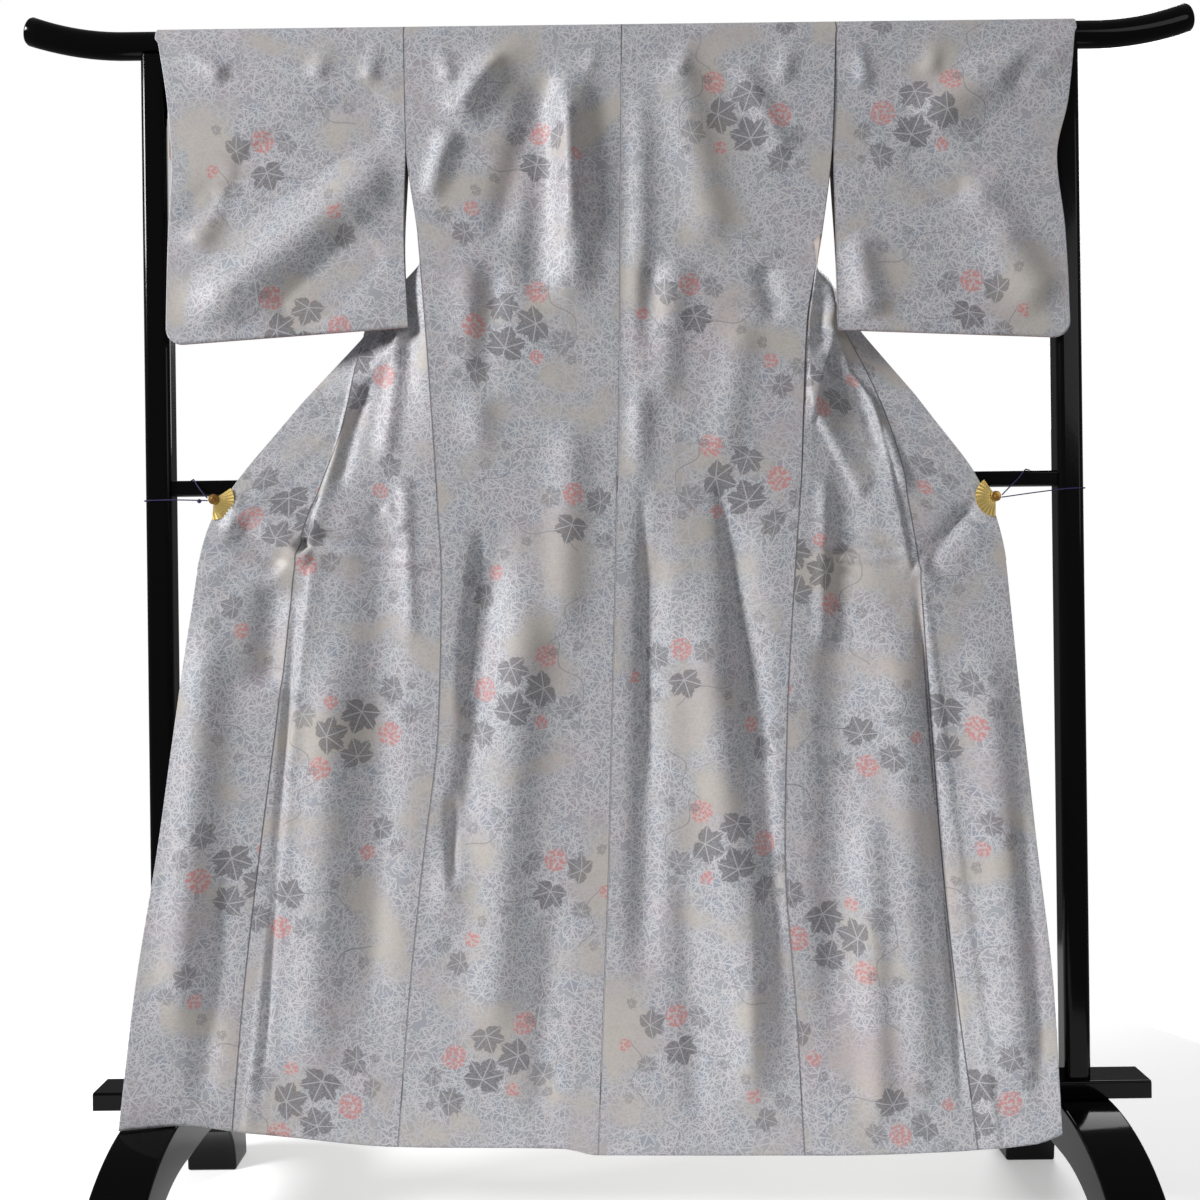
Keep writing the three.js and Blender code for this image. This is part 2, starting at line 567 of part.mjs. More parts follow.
add('mid_rail', rail, LACQUER).position.set(-railHalf, 0, (RAIL.low + RAIL.high) / 2);
const plank = bar(roundedRect(PLANK.depth, PLANK.high - PLANK.low, PLANK.round), PLANK.half * 2);
plank.rotateX(Math.PI / 2).rotateZ(Math.PI / 2);
add('base_plank', plank, LACQUER).position.set(-PLANK.half, 0, (PLANK.low + PLANK.high) / 2);

// ---- Fan clips and their strings -----------------------------------------------------------
// Each clip's pivot lies just outside the front edge, its fan on the cloth and its plain
// jaw behind. from and to are the fan's two sides, in degrees up from pointing inwards.
const CLIP = {
  left: { x: -571, z: 1058, from: 32, to: -94 },
  right: { x: 542, z: 1049, from: 55, to: -88 },
};
const FAN = {
  hubR: 7.6, inner: 8.2, outer: 29, fanY: -28.2, jawY: -19.8, sheet: 1, pleats: 12, pleatRise: 0.8,
};
const STRING_R = 0.9;

// A sector of sheet metal round the clip's pivot, folded into pleats of the given rise.
function sector(side, y, reach, cells, rise) {
  const clip = CLIP[side];
  const grid = [FAN.inner, lerp(FAN.inner, reach, 0.5), reach].map((radius, ring) => {
    const points = [];
    for (let k = 0; k <= cells; k += 1) {
      const turn = rad(lerp(clip.from, clip.to, k / cells));
      const x = clip.x - signOf(side) * radius * Math.cos(turn);
      const fold = rise * (k % 2 ? 1 : -1) * ring / 2;
      points.push(new THREE.Vector3(x, y + fold, clip.z + radius * Math.sin(turn)));
    }
    return points;
  });
  if (side === 'left') grid.reverse();
  return wall(grid, FAN.sheet);
}

function hub() {
  const rim = 1;
  const profile = [
    [0, -15.5], [FAN.hubR - 2, -15.5], [FAN.hubR - 2, -18], [FAN.hubR, -19],
    [FAN.hubR, -29], [FAN.hubR - rim, -30.5], [3, -31], [2, -32.2], [0, -32.4],
  ].map(([r, y]) => new THREE.Vector2(r, y)).reverse();
  return new THREE.LatheGeometry(profile, 14);
}

// A string leaves the clip's pivot, passes over the rail and behind it, goes round the
// upright and comes back to the pivot. Points are (distance outwards, Y, Z).
const wrapX = UPRIGHT.x + UPRIGHT.side / 2 + STRING_R + 0.9;
const wrapY = UPRIGHT.side / 2 + STRING_R + 0.9;
const STRINGS = {
  left: [
    [580.5, -26.5, 1060], [588, -24, 1068], [598, -17.5, 1080], [604.5, -11.5, 1088], [610, 0, 1088.7],
    [616, 10, 1088.4], [622, 15, 1084], [634, wrapY, 1076], [650, wrapY, 1068],
    [wrapX - 9, wrapY, 1062], [wrapX - 2.6, wrapY - 2.6, 1060], [wrapX, wrapY - 9, 1059],
    [wrapX, 0, 1058.5], [wrapX, 9 - wrapY, 1058], [wrapX - 2.6, 2.6 - wrapY, 1058],
    [wrapX - 9, -wrapY, 1058], [650, -wrapY, 1058.3], [634, -wrapY - 0.6, 1058.5],
    [610, -22.5, 1057.8], [580.5, -25, 1056.6],
  ],
  right: [
    [551.5, -26.5, 1051], [562, -24, 1061], [578, -18, 1075], [590, -12, 1087.8], [598, 0, 1088.8],
    [606, 10, 1088.4], [613, 15, 1083], [634, wrapY, 1075], [650, wrapY, 1068],
    [wrapX - 9, wrapY, 1064], [wrapX - 2.6, wrapY - 2.6, 1062], [wrapX, wrapY - 9, 1061.5],
    [wrapX, 0, 1061], [wrapX, 9 - wrapY, 1060.5], [wrapX - 2.6, 2.6 - wrapY, 1060.3],
    [wrapX - 9, -wrapY, 1060], [650, -wrapY, 1059.5], [634, -wrapY - 0.6, 1058],
    [600, -23, 1054], [551.5, -25, 1047.6],
  ],
};

function string(side) {
  const points = STRINGS[side].map(([out, y, z]) => new THREE.Vector3(signOf(side) * out, y, z));
  const section = new THREE.Shape();
  section.absarc(0, 0, STRING_R, 0, Math.PI * 2);
  return new THREE.ExtrudeGeometry(section, {
    steps: 38, bevelEnabled: false, curveSegments: 4,
    extrudePath: new THREE.CatmullRomCurve3(points, false, 'centripetal'),
  });
}

const JAW_REACH = 25;
for (const side of ['left', 'right']) {
  const clip = CLIP[side];
  add(`clip_fan_${side}`, sector(side, FAN.fanY, FAN.outer, FAN.pleats * 2, FAN.pleatRise), GOLD);
  add(`clip_jaw_${side}`, sector(side, FAN.jawY, JAW_REACH, 9, 0), GOLD);
  add(`clip_hub_${side}`, hub(), GOLD).position.set(clip.x, 0, clip.z);
  add(`string_${side}`, string(side), CORD);
}
// The left string is tied in a small knot beside its clip.
const KNOT = { x: -591, y: -29.4, z: 1055.5, radius: 3.2 };
add('string_knot', new THREE.IcosahedronGeometry(KNOT.radius, 1), CORD).position.set(KNOT.x, KNOT.y, KNOT.z);

export default model;
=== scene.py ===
"""A lined silk kimono, hung with its back to the viewer on a black lacquered stand.

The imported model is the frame. Every silk piece is a thin shell on its CAD wall's form, with
the folds deepened and finer ones added, and carries its flat cloth coordinates for the woven
pattern. On the opened fronts the cloth is laid over the collar, which is folded behind it.
Lengths are in millimetres until mesh() turns them into metres. +Z is up, -Y is the front.
"""
import math

import bpy
import numpy as np
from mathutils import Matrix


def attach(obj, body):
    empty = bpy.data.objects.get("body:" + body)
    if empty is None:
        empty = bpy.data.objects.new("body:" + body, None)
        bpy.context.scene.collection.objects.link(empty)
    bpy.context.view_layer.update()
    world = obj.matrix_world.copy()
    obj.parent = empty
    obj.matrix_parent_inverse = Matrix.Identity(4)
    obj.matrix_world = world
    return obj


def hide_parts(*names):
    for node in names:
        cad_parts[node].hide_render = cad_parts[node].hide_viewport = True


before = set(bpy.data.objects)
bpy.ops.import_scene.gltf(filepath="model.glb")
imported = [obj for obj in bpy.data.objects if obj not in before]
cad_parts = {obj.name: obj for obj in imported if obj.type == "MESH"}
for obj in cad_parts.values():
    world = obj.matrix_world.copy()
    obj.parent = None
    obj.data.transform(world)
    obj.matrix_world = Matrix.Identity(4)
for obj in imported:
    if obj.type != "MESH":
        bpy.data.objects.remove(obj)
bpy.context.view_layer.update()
MM = 0.001

# ---- The camera --------------------------------------------------------------------------
CAMERA = {"place": (-0.023, -1.700, 0.908), "roll": 0.70, "lens": 35.25, "sensor": 36.0}


def make_camera():
    data = bpy.data.cameras.new("camera")
    data.lens = CAMERA["lens"]
    data.sensor_width = CAMERA["sensor"]
    camera = bpy.data.objects.new("camera", data)
    camera.location = CAMERA["place"]
    camera.rotation_euler = (math.radians(90), math.radians(CAMERA["roll"]), 0)
    bpy.context.scene.collection.objects.link(camera)
    bpy.context.scene.camera = camera


make_camera()


# ---- Tables ------------------------------------------------------------------------------
def table(columns, *rows):
    """A table with named columns, the first of which is its key."""
    names = columns.split()
    made = {name: np.array(values, float) for name, values in zip(names, zip(*rows))}
    made["key"] = made[names[0]]
    return made


ROD = {"radius": 19, "axis": 1717, "half": 838, "straight": 700, "rise": 24}
CLOTH = 1.2                   # silk and lining together
COLLAR_CLOTH = 2.2
GAP = 0.12                    # half the gap left at a seam
DRAPE = ROD["radius"] + 1.8   # middle of the cloth as it bends over the rod
TOP = ROD["axis"] + DRAPE     # depths t are measured down from here
ARMHOLE = 180
SIDE_TOP = 306
COLLAR_END = 780
OKUMI_TOP = 430               # depth of the overlap panels' upper ends
BAND = 33
END_BAND = {"left": 17, "right": 10}
ROLL = (560, 760)
TWIST = (40, 540)
COVER = (330, 390)            # from here down the fronts' cloth is laid over the collar
LAID = 2.3                    # this far in front of it
RELIEF = {"ridge": 2.2, "valley": 1.7}      # what a fold's rise is multiplied by in the silk
FOLD_ENDS = 5                 # a fold dies away over a fifth of its length
LAP = 30                      # the cloth rises onto the collar over this far before its seam
LAP_END = 60                  # and comes back over this far below the collar's end
WAIST = 900
LAST = 1600
NO_SEAM = 90.0                # farther than this from a seam is all the same
CREASE_END = 12               # a crease fades out this far past its ends
STEP = 5.0                    # length of one cell of cloth

BODY = table(
    "t centre sideL sideR",
    (0, 18, -294, 325), (180, 15, -292, 317), (306, 12, -277, 301), (438, 10, -267, 277),
    (568, 7, -259, 270), (658, 4, -254, 266), (718, 2, -251, 261), (780, 0, -248, 256),
    (998, -8, -254, 241), (1198, -15, -278, 235), (1398, -25, -300, 247), (1600, -35, -317, 256))
FRONT = table(
    "t okumiL okumiR edgeL edgeR",
    (438, -364, 336, -366, 365), (568, -388, 391, -470, 454), (658, -418, 412, -540, 514),
    (718, -442, 422, -578, 542), (780, -457, 431, -595, 555), (998, -483, 445, -624, 571),
    (1198, -508, 457, -648, 586), (1398, -530, 474, -675, 600), (1600, -546, 496, -695, 605))
DEPTH = table(
    "t back side okumi edge",
    (20, -20.8, -20.8, -24, -24), (120, -23, -23, -24, -24), (700, -26, -28, -27, -24),
    (1100, -31, -34, -38, -46), (1400, -36, -41, -50, -70), (1600, -38, -44, -58, -82))
HEM = table(
    "x t",
    (-700, 1553), (-620, 1552), (-540, 1567), (-470, 1577), (-317, 1597), (-84, 1605),
    (-35, 1615), (256, 1616), (470, 1607), (570, 1590), (605, 1574))
COLLAR_LINE = table(
    "t y", (20, 22), (250, 25), (360, 27), (440, 16), (513, 3), (600, -13), (660, -23), (780, -26))
COLLAR_SLOPE = {"left": (-62, -0.69), "right": (95, 0.604)}
NECK = table("turn out", (0, 0), (88, 0), (97, 30), (115, 62), (140, 88), (180, 112))
NECK_FOLD = table(
    "turn out t", (88, 0, 44), (97, 18, 45), (115, 36, 47), (140, 53, 52), (180, 68, 62))
FRONT_SIDE = table(
    "t y belly",
    (20, 20.8, 0), (60, 21, 4), (180, 6, 14), (250, -8, 12), (306, -23, 0), (360, -24, 0),
    (440, -24.5, 9), (560, -26, 6), (700, -28, 0))
COLLAR_GAP = table("t gap", (20, 0.5), (120, 1.5), (306, 3), (480, 2.2), (620, 1.2), (780, 0.6))
SLEEVE_INNER = {
    "left": table("t x", (180, 0), (310, -4), (440, 1)),
    "right": table("t x", (180, 0), (310, 2), (440, 4))}
SLEEVE_OUTER = {
    "left": table("t x", (0, -649), (120, -632), (200, -627), (310, -633), (440, -637)),
    "right": table("t x", (0, 668), (120, 655), (205, 637), (310, 647), (440, 652))}
SLEEVE_HEM = {"left": (438, 460), "right": (449, 464)}
CUFF = 200
CORNER = 24
CLEAR = 632

# Folds run from (x0, t0) to (x1, t1), width wide, and stand rise proud, or sink if negative,
# times RELIEF.
FOLD = "x0 t0 x1 t1 width rise"
BACK_FOLDS = table(
    FOLD,
    (-48, 50, -55, 420, 26, 7), (-95, 60, -110, 420, 24, -6), (-125, 5, -230, 150, 26, 6),
    (-165, 700, -245, 1240, 24, -9), (-120, 760, -190, 1500, 34, 7), (34, 60, 28, 700, 20, 6),
    (56, 680, 30, 1400, 22, -7), (160, 640, 235, 1420, 24, -9), (120, 780, 190, 1560, 32, 7),
    (90, 40, 150, 340, 30, 5),
    (-190, 715, -225, 1010, 9, -4), (-240, 1090, -236, 1240, 8, -5), (146, 650, 200, 1010, 9, -4),
    (205, 960, 232, 1360, 9, -4), (40, 640, 44, 1120, 8, -3), (-60, 110, -64, 330, 11, 3),
    (-150, 40, -215, 130, 12, 3), (215, 350, 235, 440, 16, -5), (180, 60, 255, 210, 16, 3),
    (120, 14, 95, 90, 12, 3), (262, 12, 245, 100, 12, 3), (-250, 10, -225, 95, 11, 3),
    (-20, 12, -28, 80, 10, 2.5), (-90, 1240, -120, 1590, 22, -4), (90, 1180, 110, 1590, 20, -4),
    (-205, 330, -190, 640, 22, 3), (190, 420, 150, 640, 24, 3),
    (-73, 60, -49, 320, 14, 4), (-103, 80, -169, 330, 20, -5), (-169, 330, -196, 560, 22, -5),
    (-223, 150, -268, 260, 16, 5), (58, 330, 20, 560, 20, -5), (95, 330, 66, 560, 22, 4),
    (-60, 560, -75, 900, 26, 4), (-215, 900, -255, 1300, 20, 4), (205, 1000, 175, 1560, 20, 4))
FRONT_FOLDS = table(
    FOLD,
    (-545, 715, -470, 780, 20, -6), (-485, 790, -500, 960, 26, -8), (-575, 820, -620, 1500, 30, 7),
    (-400, 860, -440, 1560, 34, 6), (-330, 600, -350, 1500, 34, -6), (520, 700, 436, 800, 20, -6),
    (330, 560, 300, 1500, 34, -7), (395, 820, 420, 1560, 30, 6), (520, 860, 550, 1560, 30, 7),
    (-452, 760, -510, 1590, 7, -4), (-330, 690, -300, 730, 9, 3), (-445, 730, -262, 762, 6, -3),
    (426, 762, 262, 762, 6, -3), (520, 690, 440, 790, 8, -4), (-449, 738, -441, 756, 8, -8),
    (425, 760, 480, 1580, 7, -5),
    (-560, 1200, -590, 1590, 18, -5), (350, 1100, 360, 1590, 22, 5), (-300, 640, -290, 900, 12, 3),
    (300, 640, 290, 920, 12, 4), (560, 1100, 585, 1560, 12, -4))
UPPER_FRONT_FOLDS = table(
    FOLD,
    (330, 430, 385, 640, 12, -5), (360, 520, 420, 690, 11, 4),
    (-300, 400, -330, 640, 14, 4), (-350, 480, -400, 680, 12, -4))

# Creases rise to a sharp edge along their line: left and right are how far their two sides
# spread, towards smaller and greater x (below and above the line of a level one).
CREASE = "x0 t0 x1 t1 left right rise"
CREASES = table(
    CREASE,
    (308, 314, 320, 412, 26, 3, 14), (320, 412, 317, 454, 30, 3, 17),
    (317, 454, 286, 562, 22, 3.5, 15), (286, 562, 345, 672, 4, 24, 9),
    (320, 450, 340, 507, 14, 3, 5), (340, 507, 371, 546, 16, 3, 7),
    (371, 546, 399, 684, 18, 3, 6), (399, 684, 418, 785, 16, 3, 5),
    (436, 800, 520, 1580, 12, 4, 3),
    (-363, 440, -382, 542, 3, 14, 3.5), (-382, 542, -400, 620, 3, 15, 4),
    (-400, 620, -438, 742, 3, 15, 4.5), (-431, 760, -474, 1108, 3, 14, 3),
    (-474, 1108, -527, 1585, 3.5, 16, 3), (-425, 757, -250, 784, 3, 14, 4),
    (262, 780, 425, 778, 3, 14, 3), (-548, 722, -446, 766, 7, 34, 9),
    (500, 725, 432, 792, 8, 30, 9))

SLEEVE_FOLDS = table(
    FOLD,
    (-300, 195, -610, 440, 36, 7), (-300, 110, -620, 300, 34, -6), (-340, 300, -470, 440, 34, -6),
    (660, 20, 430, 160, 32, 6), (335, 310, 370, 440, 28, 6), (500, 230, 620, 430, 34, 6),
    (-620, 20, -545, 80, 14, 4), (-330, 15, -345, 90, 12, 3), (-400, 12, -420, 85, 13, 3),
    (640, 30, 560, 110, 14, -4), (350, 14, 365, 110, 12, 3), (470, 12, 455, 90, 13, 3),
    (-520, 200, -600, 330, 20, 4), (420, 180, 560, 330, 24, -4), (-450, 150, -560, 250, 16, -3))


def look(rows, column, at):
    """A smooth value from a column, never beyond the rows on both sides of the key."""
    keys, values = rows["key"], rows[column]
    step = np.diff(values) / np.diff(keys)
    slope = np.concatenate([step[:1], np.zeros(len(step) - 1), step[-1:]])
    same = step[:-1] * step[1:] > 0
    total = np.where(same, step[:-1] + step[1:], 1)
    slope[1:-1] = np.where(same, 2 * step[:-1] * step[1:] / total, 0)
    at = np.clip(at, keys[0], keys[-1])
    i = np.clip(np.searchsorted(keys, at, side="right") - 1, 0, len(keys) - 2)
    span = keys[i + 1] - keys[i]
    f = (at - keys[i]) / span
    m, n = slope[i] * span, slope[i + 1] * span
    p, q = values[i], values[i + 1]
    from_p = (2 * f**3 - 3 * f**2 + 1) * p + (f**3 - 2 * f**2 + f) * m
    return from_p + (3 * f**2 - 2 * f**3) * q + (f**3 - f**2) * n


def lerp(a, b, f):
    return a + (b - a) * f


def ease(v):
    v = np.clip(v, 0, 1)
    return v * v * (3 - 2 * v)


def lift(folds, x, t):
    """How far a table's folds lift the cloth at (x, t)."""
    total = np.zeros(np.broadcast(x, t).shape)
    for k in range(len(folds["key"])):
        x0, t0, x1, t1, width, rise = (folds[name][k] for name in FOLD.split())
        dx, dt = x1 - x0, t1 - t0
        along = np.clip(((x - x0) * dx + (t - t0) * dt) / (dx * dx + dt * dt), 0, 1)
        away = np.hypot(x - x0 - along * dx, t - t0 - along * dt)
        gain = RELIEF["ridge" if rise > 0 else "valley"]
        ends = ease(np.minimum(along, 1 - along) * FOLD_ENDS)
        total += gain * rise * ends * np.exp(-((away / width) ** 2))
    return total


def crease(creases, x, t):
    """How far a table's creases lift the cloth at (x, t)."""
    total = np.zeros(np.broadcast(x, t).shape)
    for k in range(len(creases["key"])):
        x0, t0, x1, t1, left, right, rise = (creases[name][k] for name in CREASE.split())
        dx, dt = x1 - x0, t1 - t0
        along = ((x - x0) * dx + (t - t0) * dt) / (dx * dx + dt * dt)
        past = np.maximum(np.maximum(-along, along - 1), 0) * math.hypot(dx, dt)
        away = ((x - x0) * dt - (t - t0) * dx) / math.hypot(dx, dt)
        width = np.where(away > 0, right, left)
        total = np.maximum(total, rise * np.exp(-((away / width) ** 2) - (past / CREASE_END) ** 2))
    return total


def points(x, y, z):
    x, y, z = np.broadcast_arrays(x, y, z)
    return np.stack([x, y, z], axis=-1).astype(float)


def sign(side):
    return -1 if side == "left" else 1


def column(name, side):
    return name + ("L" if side == "left" else "R")


# ---- The garment's lines, as in the CAD walls --------------------------------------------
def to_hem(x, t):
    """Level lines stretch a little below the waist, so that the lowest follows the hem."""
    return np.where(t <= WAIST, t, lerp(WAIST, look(HEM, "t", x), (t - WAIST) / (LAST - WAIST)))


def on_rod(x, turn, extra=0.0):
    r = DRAPE + extra
    a = np.radians(turn)
    return points(x, -r * np.cos(a), ROD["axis"] + r * np.sin(a))


def back_row(side, across, t):
    s = sign(side)
    inner = look(BODY, "centre", t) + s * GAP
    outer = look(BODY, column("side", side), t) - s * GAP
    x = lerp(inner, outer, across)
    edge = np.minimum(across, 1 - across)
    y = lerp(look(DEPTH, "back", t), look(DEPTH, "side", t), across)
    fade = ease((t - 22) / 60) * ease(edge * 6)
    return points(x, y - fade * lift(BACK_FOLDS, x, t), TOP - to_hem(x, t))


def collar_edges(side, t):
    s = sign(side)
    at, per = COLLAR_SLOPE[side]
    turn = math.radians(180 * min(max((t - TWIST[0]) / (TWIST[1] - TWIST[0]), 0), 1))
    band = float(lerp(BAND, END_BAND[side], ease((t - ROLL[0]) / (ROLL[1] - ROLL[0]))))
    free = look(FRONT, column("edge", side), t) + s * band * math.cos(turn)
    x = lerp(at + per * (t - 20), free, ease((t - 330) / 110))
    reach = band * np.array([-s * math.cos(turn), math.sin(turn), 0])
    middle = np.array([float(x), float(look(COLLAR_LINE, "y", t)), TOP - t])
    return middle - reach, middle + reach


def front_row(side, t, above):
    """A level line of an opened front: its two ends, and where the overlap's seam crosses.

    Its places across run from 0 at the side to 1 at the collar's seam, and on over the collar
    to its folded edge, or to 1 at the free edge below the collar."""
    s = sign(side)
    x = look(BODY, column("side", side), t) + (s * GAP if t > SIDE_TOP else -s * GAP)
    y = look(FRONT_SIDE, "y", t) if t < 700 else look(DEPTH, "side", t)
    start = points(x, y, TOP - to_hem(x, t))
    over, reach = np.zeros(3), 0.0
    if above:
        end, fold = collar_edges(side, t)
        width = np.linalg.norm(fold - end)
        over = (fold - end) / width
        reach = (width + 1) * float(ease((t - COVER[0]) / (COVER[1] - COVER[0])))
    else:
        edge = look(FRONT, column("edge", side), t)
        end = points(edge, look(DEPTH, "edge", t), TOP - to_hem(edge, t))
    span = np.linalg.norm(end - start)
    total = 1 + reach / span
    okumi_x = look(FRONT, column("okumi", side), t)
    seam = (okumi_x - start[0]) / (end[0] - start[0])
    if seam > 1 and reach:
        seam = 1 + (okumi_x - end[0]) / over[0] / span
    above_okumi = 1 - float(ease((t - COVER[0]) / (OKUMI_TOP - COVER[0])))
    seam = lerp(min(max(float(seam), 0), total), total, above_okumi)
    within = min(seam, 1)
    okumi_y = lerp(start[1], end[1], within) if t < 700 else look(DEPTH, "okumi", t)
    return {
        "start": start, "end": end, "over": over, "span": span, "total": total, "seam": seam,
        "within": within, "y": okumi_y, "t": t, "laid": LAID * float(ease(reach / (2 * LAP)))}


def front_points(row, across):
    start, end, t, at = row["start"], row["end"], row["t"], row["within"]
    made = start + (end - start) * np.minimum(across, 1)[:, None]
    past = np.maximum(across - 1, 0) * row["span"]
    y = np.where(
        across < at, lerp(start[1], row["y"], across / at),
        lerp(row["y"], end[1], (np.minimum(across, 1) - at) / max(1 - at, 0.001)))
    made[:, 1] = lerp(made[:, 1], y, min(max((t - 700) / 80, 0), 1))
    made += row["over"] * past[:, None]
    before = (across - 1) * row["span"]
    laid = row["laid"] * ease((before + LAP) / LAP)
    if t > COLLAR_END:
        back = float(ease((COLLAR_END + LAP_END - t) / LAP_END))
        laid = LAID * ease((before + 50) / LAP) * back
    made[:, 1] += look(FRONT_SIDE, "belly", t) * np.sin(np.pi * np.minimum(across, 1)) ** 2 - laid
    held = ease(across * 6)
    made[:, 1] -= ease((t - 560) / 120) * held * lift(FRONT_FOLDS, made[:, 0], t)
    if SIDE_TOP < t < 720:
        made[:, 1] -= held * ease((1 - across) * 6) * lift(UPPER_FRONT_FOLDS, made[:, 0], t)
    made[:, 1] -= ease((t - SIDE_TOP) / 20) * ease(across * 9) * crease(CREASES, made[:, 0], t)
    made[:, 2] = TOP - to_hem(made[:, 0], t)
    return made


# ---- Shells ------------------------------------------------------------------------------
def spread(width):
    """Places across a strip, finer at its two seams."""
    near = np.array([0.9, 2.2, 4.5]) / width
    inside = np.linspace(0, 1, max(int(width / STEP), 6) + 1)[1:-1]
    return np.concatenate([[0], near, inside, 1 - near[::-1], [1]])


def levels(start, stop):
    return np.linspace(start, stop, int(abs(stop - start) / STEP) + 1)


def flat_map(grid, shift, flip, width, seams):
    """Each point's place on the flat cloth in metres, and its distance from a seam."""
    across = np.linalg.norm(np.diff(grid, axis=1), axis=2)
    u = np.concatenate([np.zeros((len(grid), 1)), np.cumsum(across, axis=1)], axis=1)
    middle = grid[:, grid.shape[1] // 2]
    v = np.concatenate([[0], np.cumsum(np.linalg.norm(np.diff(middle, axis=0), axis=1))])
    from_seam = np.full(u.shape, NO_SEAM)
    if seams[0]:
        from_seam = np.minimum(from_seam, u)
    if seams[1]:
        from_seam = np.minimum(from_seam, u[:, -1:] - u)
    if flip:
        u = width - u
    return points(u * MM, (v * MM + shift)[:, None], from_seam * MM)


def mesh(name, places, faces, slots, materials, coordinates=None):
    data = bpy.data.meshes.new(name)
    data.from_pydata((np.asarray(places) * MM).tolist(), [], faces)
    for material in materials:
        data.materials.append(material)
    data.polygons.foreach_set("material_index", slots)
    data.polygons.foreach_set("use_smooth", [True] * len(faces))
    if coordinates is not None:
        layer = data.attributes.new("cloth", "FLOAT_VECTOR", "POINT")
        layer.data.foreach_set("vector", np.asarray(coordinates, np.float32).ravel())
    data.update()
    piece = bpy.data.objects.new(name, data)
    bpy.context.scene.collection.objects.link(piece)
    return piece


def shell(name, grid, thickness, materials, shift=0.0, flip=False, width=300.0, seams=(True, True)):
    """A closed shell on a grid: slot 0 outside, slot 1 inside, slot 2 on the ends of its rows.

    seams says whether its first and last columns get a seam's painted shade."""
    up = np.gradient(grid, axis=0)
    right = np.gradient(grid, axis=1)
    normal = np.cross(right, up)
    normal /= np.maximum(np.linalg.norm(normal, axis=2, keepdims=True), 1e-9)
    rows, cols = grid.shape[:2]
    both = np.concatenate([grid + normal * thickness / 2, grid - normal * thickness / 2])
    i, j = np.meshgrid(np.arange(rows - 1), np.arange(cols - 1), indexing="ij")
    a = (i * cols + j).ravel()
    front = np.stack([a, a + 1, a + cols + 1, a + cols], axis=1)
    back = (front + rows * cols)[:, ::-1]
    count = rows * cols
    left = np.arange(rows - 1) * cols
    sides = np.stack([left, left + cols, left + cols + count, left + count], axis=1)
    right_edge = left + cols - 1
    far = np.stack(
        [right_edge + cols, right_edge, right_edge + count, right_edge + cols + count], axis=1)
    sides = np.concatenate([sides, far])
    first = np.arange(cols - 1)
    last = first + (rows - 1) * cols
    ends = np.concatenate([
        np.stack([first + 1, first, first + count, first + 1 + count], axis=1),
        np.stack([last, last + 1, last + 1 + count, last + count], axis=1)])
    faces = np.concatenate([front, back, sides, ends]).tolist()
    slots = np.repeat([0, 1, 0, 2], [len(front), len(back), len(sides), len(ends)])
    flat = flat_map(grid, shift, flip, width, seams)
    return mesh(
        name, both.reshape(-1, 3), faces, slots, materials,
        np.concatenate([flat, flat]).reshape(-1, 3))


def body_grid(side):
    """The strip from the back hem, over the rod and down to the front hem."""
    s = sign(side)
    f = spread(290)
    grid = [back_row(side, f, t) for t in levels(LAST, 25)]
    inner_x = look(BODY, "centre", 0)
    outer = look(BODY, column("side", side), 0) - s * GAP
    for turn in np.linspace(0, 180, 25):
        inner = inner_x + s * (GAP + look(NECK, "out", turn))
        grid.append(on_rod(lerp(inner, outer, f), turn))
    for t in np.concatenate([levels(27, COLLAR_END), levels(COLLAR_END + 1, LAST)]):
        row = front_row(side, t, t <= COLLAR_END)
        gap = GAP if t > COVER[1] else look(COLLAR_GAP, "gap", t) * (row["total"] == 1)
        stop = row["seam"] - gap / row["span"]
        grid.append(front_points(row, (1 - f) * stop))
    grid = np.array(grid)
    return grid[:, ::-1] if side == "left" else grid


def okumi_grid(side):
    """The overlap panel, from its seam to the free edge, over the collar in its upper part."""
    f = spread(140)
    grid = []
    for t in np.concatenate([levels(OKUMI_TOP + 2, COLLAR_END), levels(COLLAR_END + 1, LAST)]):
        row = front_row(side, t, t <= COLLAR_END)
        start = min(row["seam"] + GAP / row["span"], row["total"] - 1 / row["span"])
        grid.append(front_points(row, lerp(start, row["total"], f)))
    grid = np.array(grid)
    return grid[:, ::-1] if side == "right" else grid


COLLAR_COLUMNS = np.linspace(0, 1, 11)


def collar_half(side):
    """The collar's stations from the middle of the neck to its end on one side."""
    s = sign(side)
    centre = look(BODY, "centre", 0)
    stations = []
    for turn in np.linspace(88, 180, 14):
        out, fold_out = look(NECK, "out", turn), look(NECK_FOLD, "out", turn)
        fold_t = look(NECK_FOLD, "t", turn)
        k = np.array([0, 0.5, 1, 1.5, 2])
        x = centre + s * (lerp(out, fold_out, k * 0.28) - 0.6)
        wrapped = on_rod(x, lerp(turn + 4, 180, k / 2), 1.4 + k)
        fall = np.linspace(0.17, 1, 6)
        x = centre + s * lerp(out, fold_out, lerp(0.6, 1, fall))
        below = points(x, lerp(23.2, 24, fall), TOP - lerp(20, fold_t, fall))
        stations.append(np.concatenate([wrapped, below]))
    for t in levels(80, COLLAR_END - 0.6):
        seam, fold = collar_edges(side, t)
        fold[2] -= 30 * ease((200 - t) / 160)
        made = seam + (fold - seam) * COLLAR_COLUMNS[:, None]
        made[:, 1] -= ease((t - 560) / 120) * lift(FRONT_FOLDS, made[:, 0], t)
        stations.append(made)
    return stations


def collar_grid():
    return np.array(collar_half("left")[::-1] + collar_half("right")[1:])


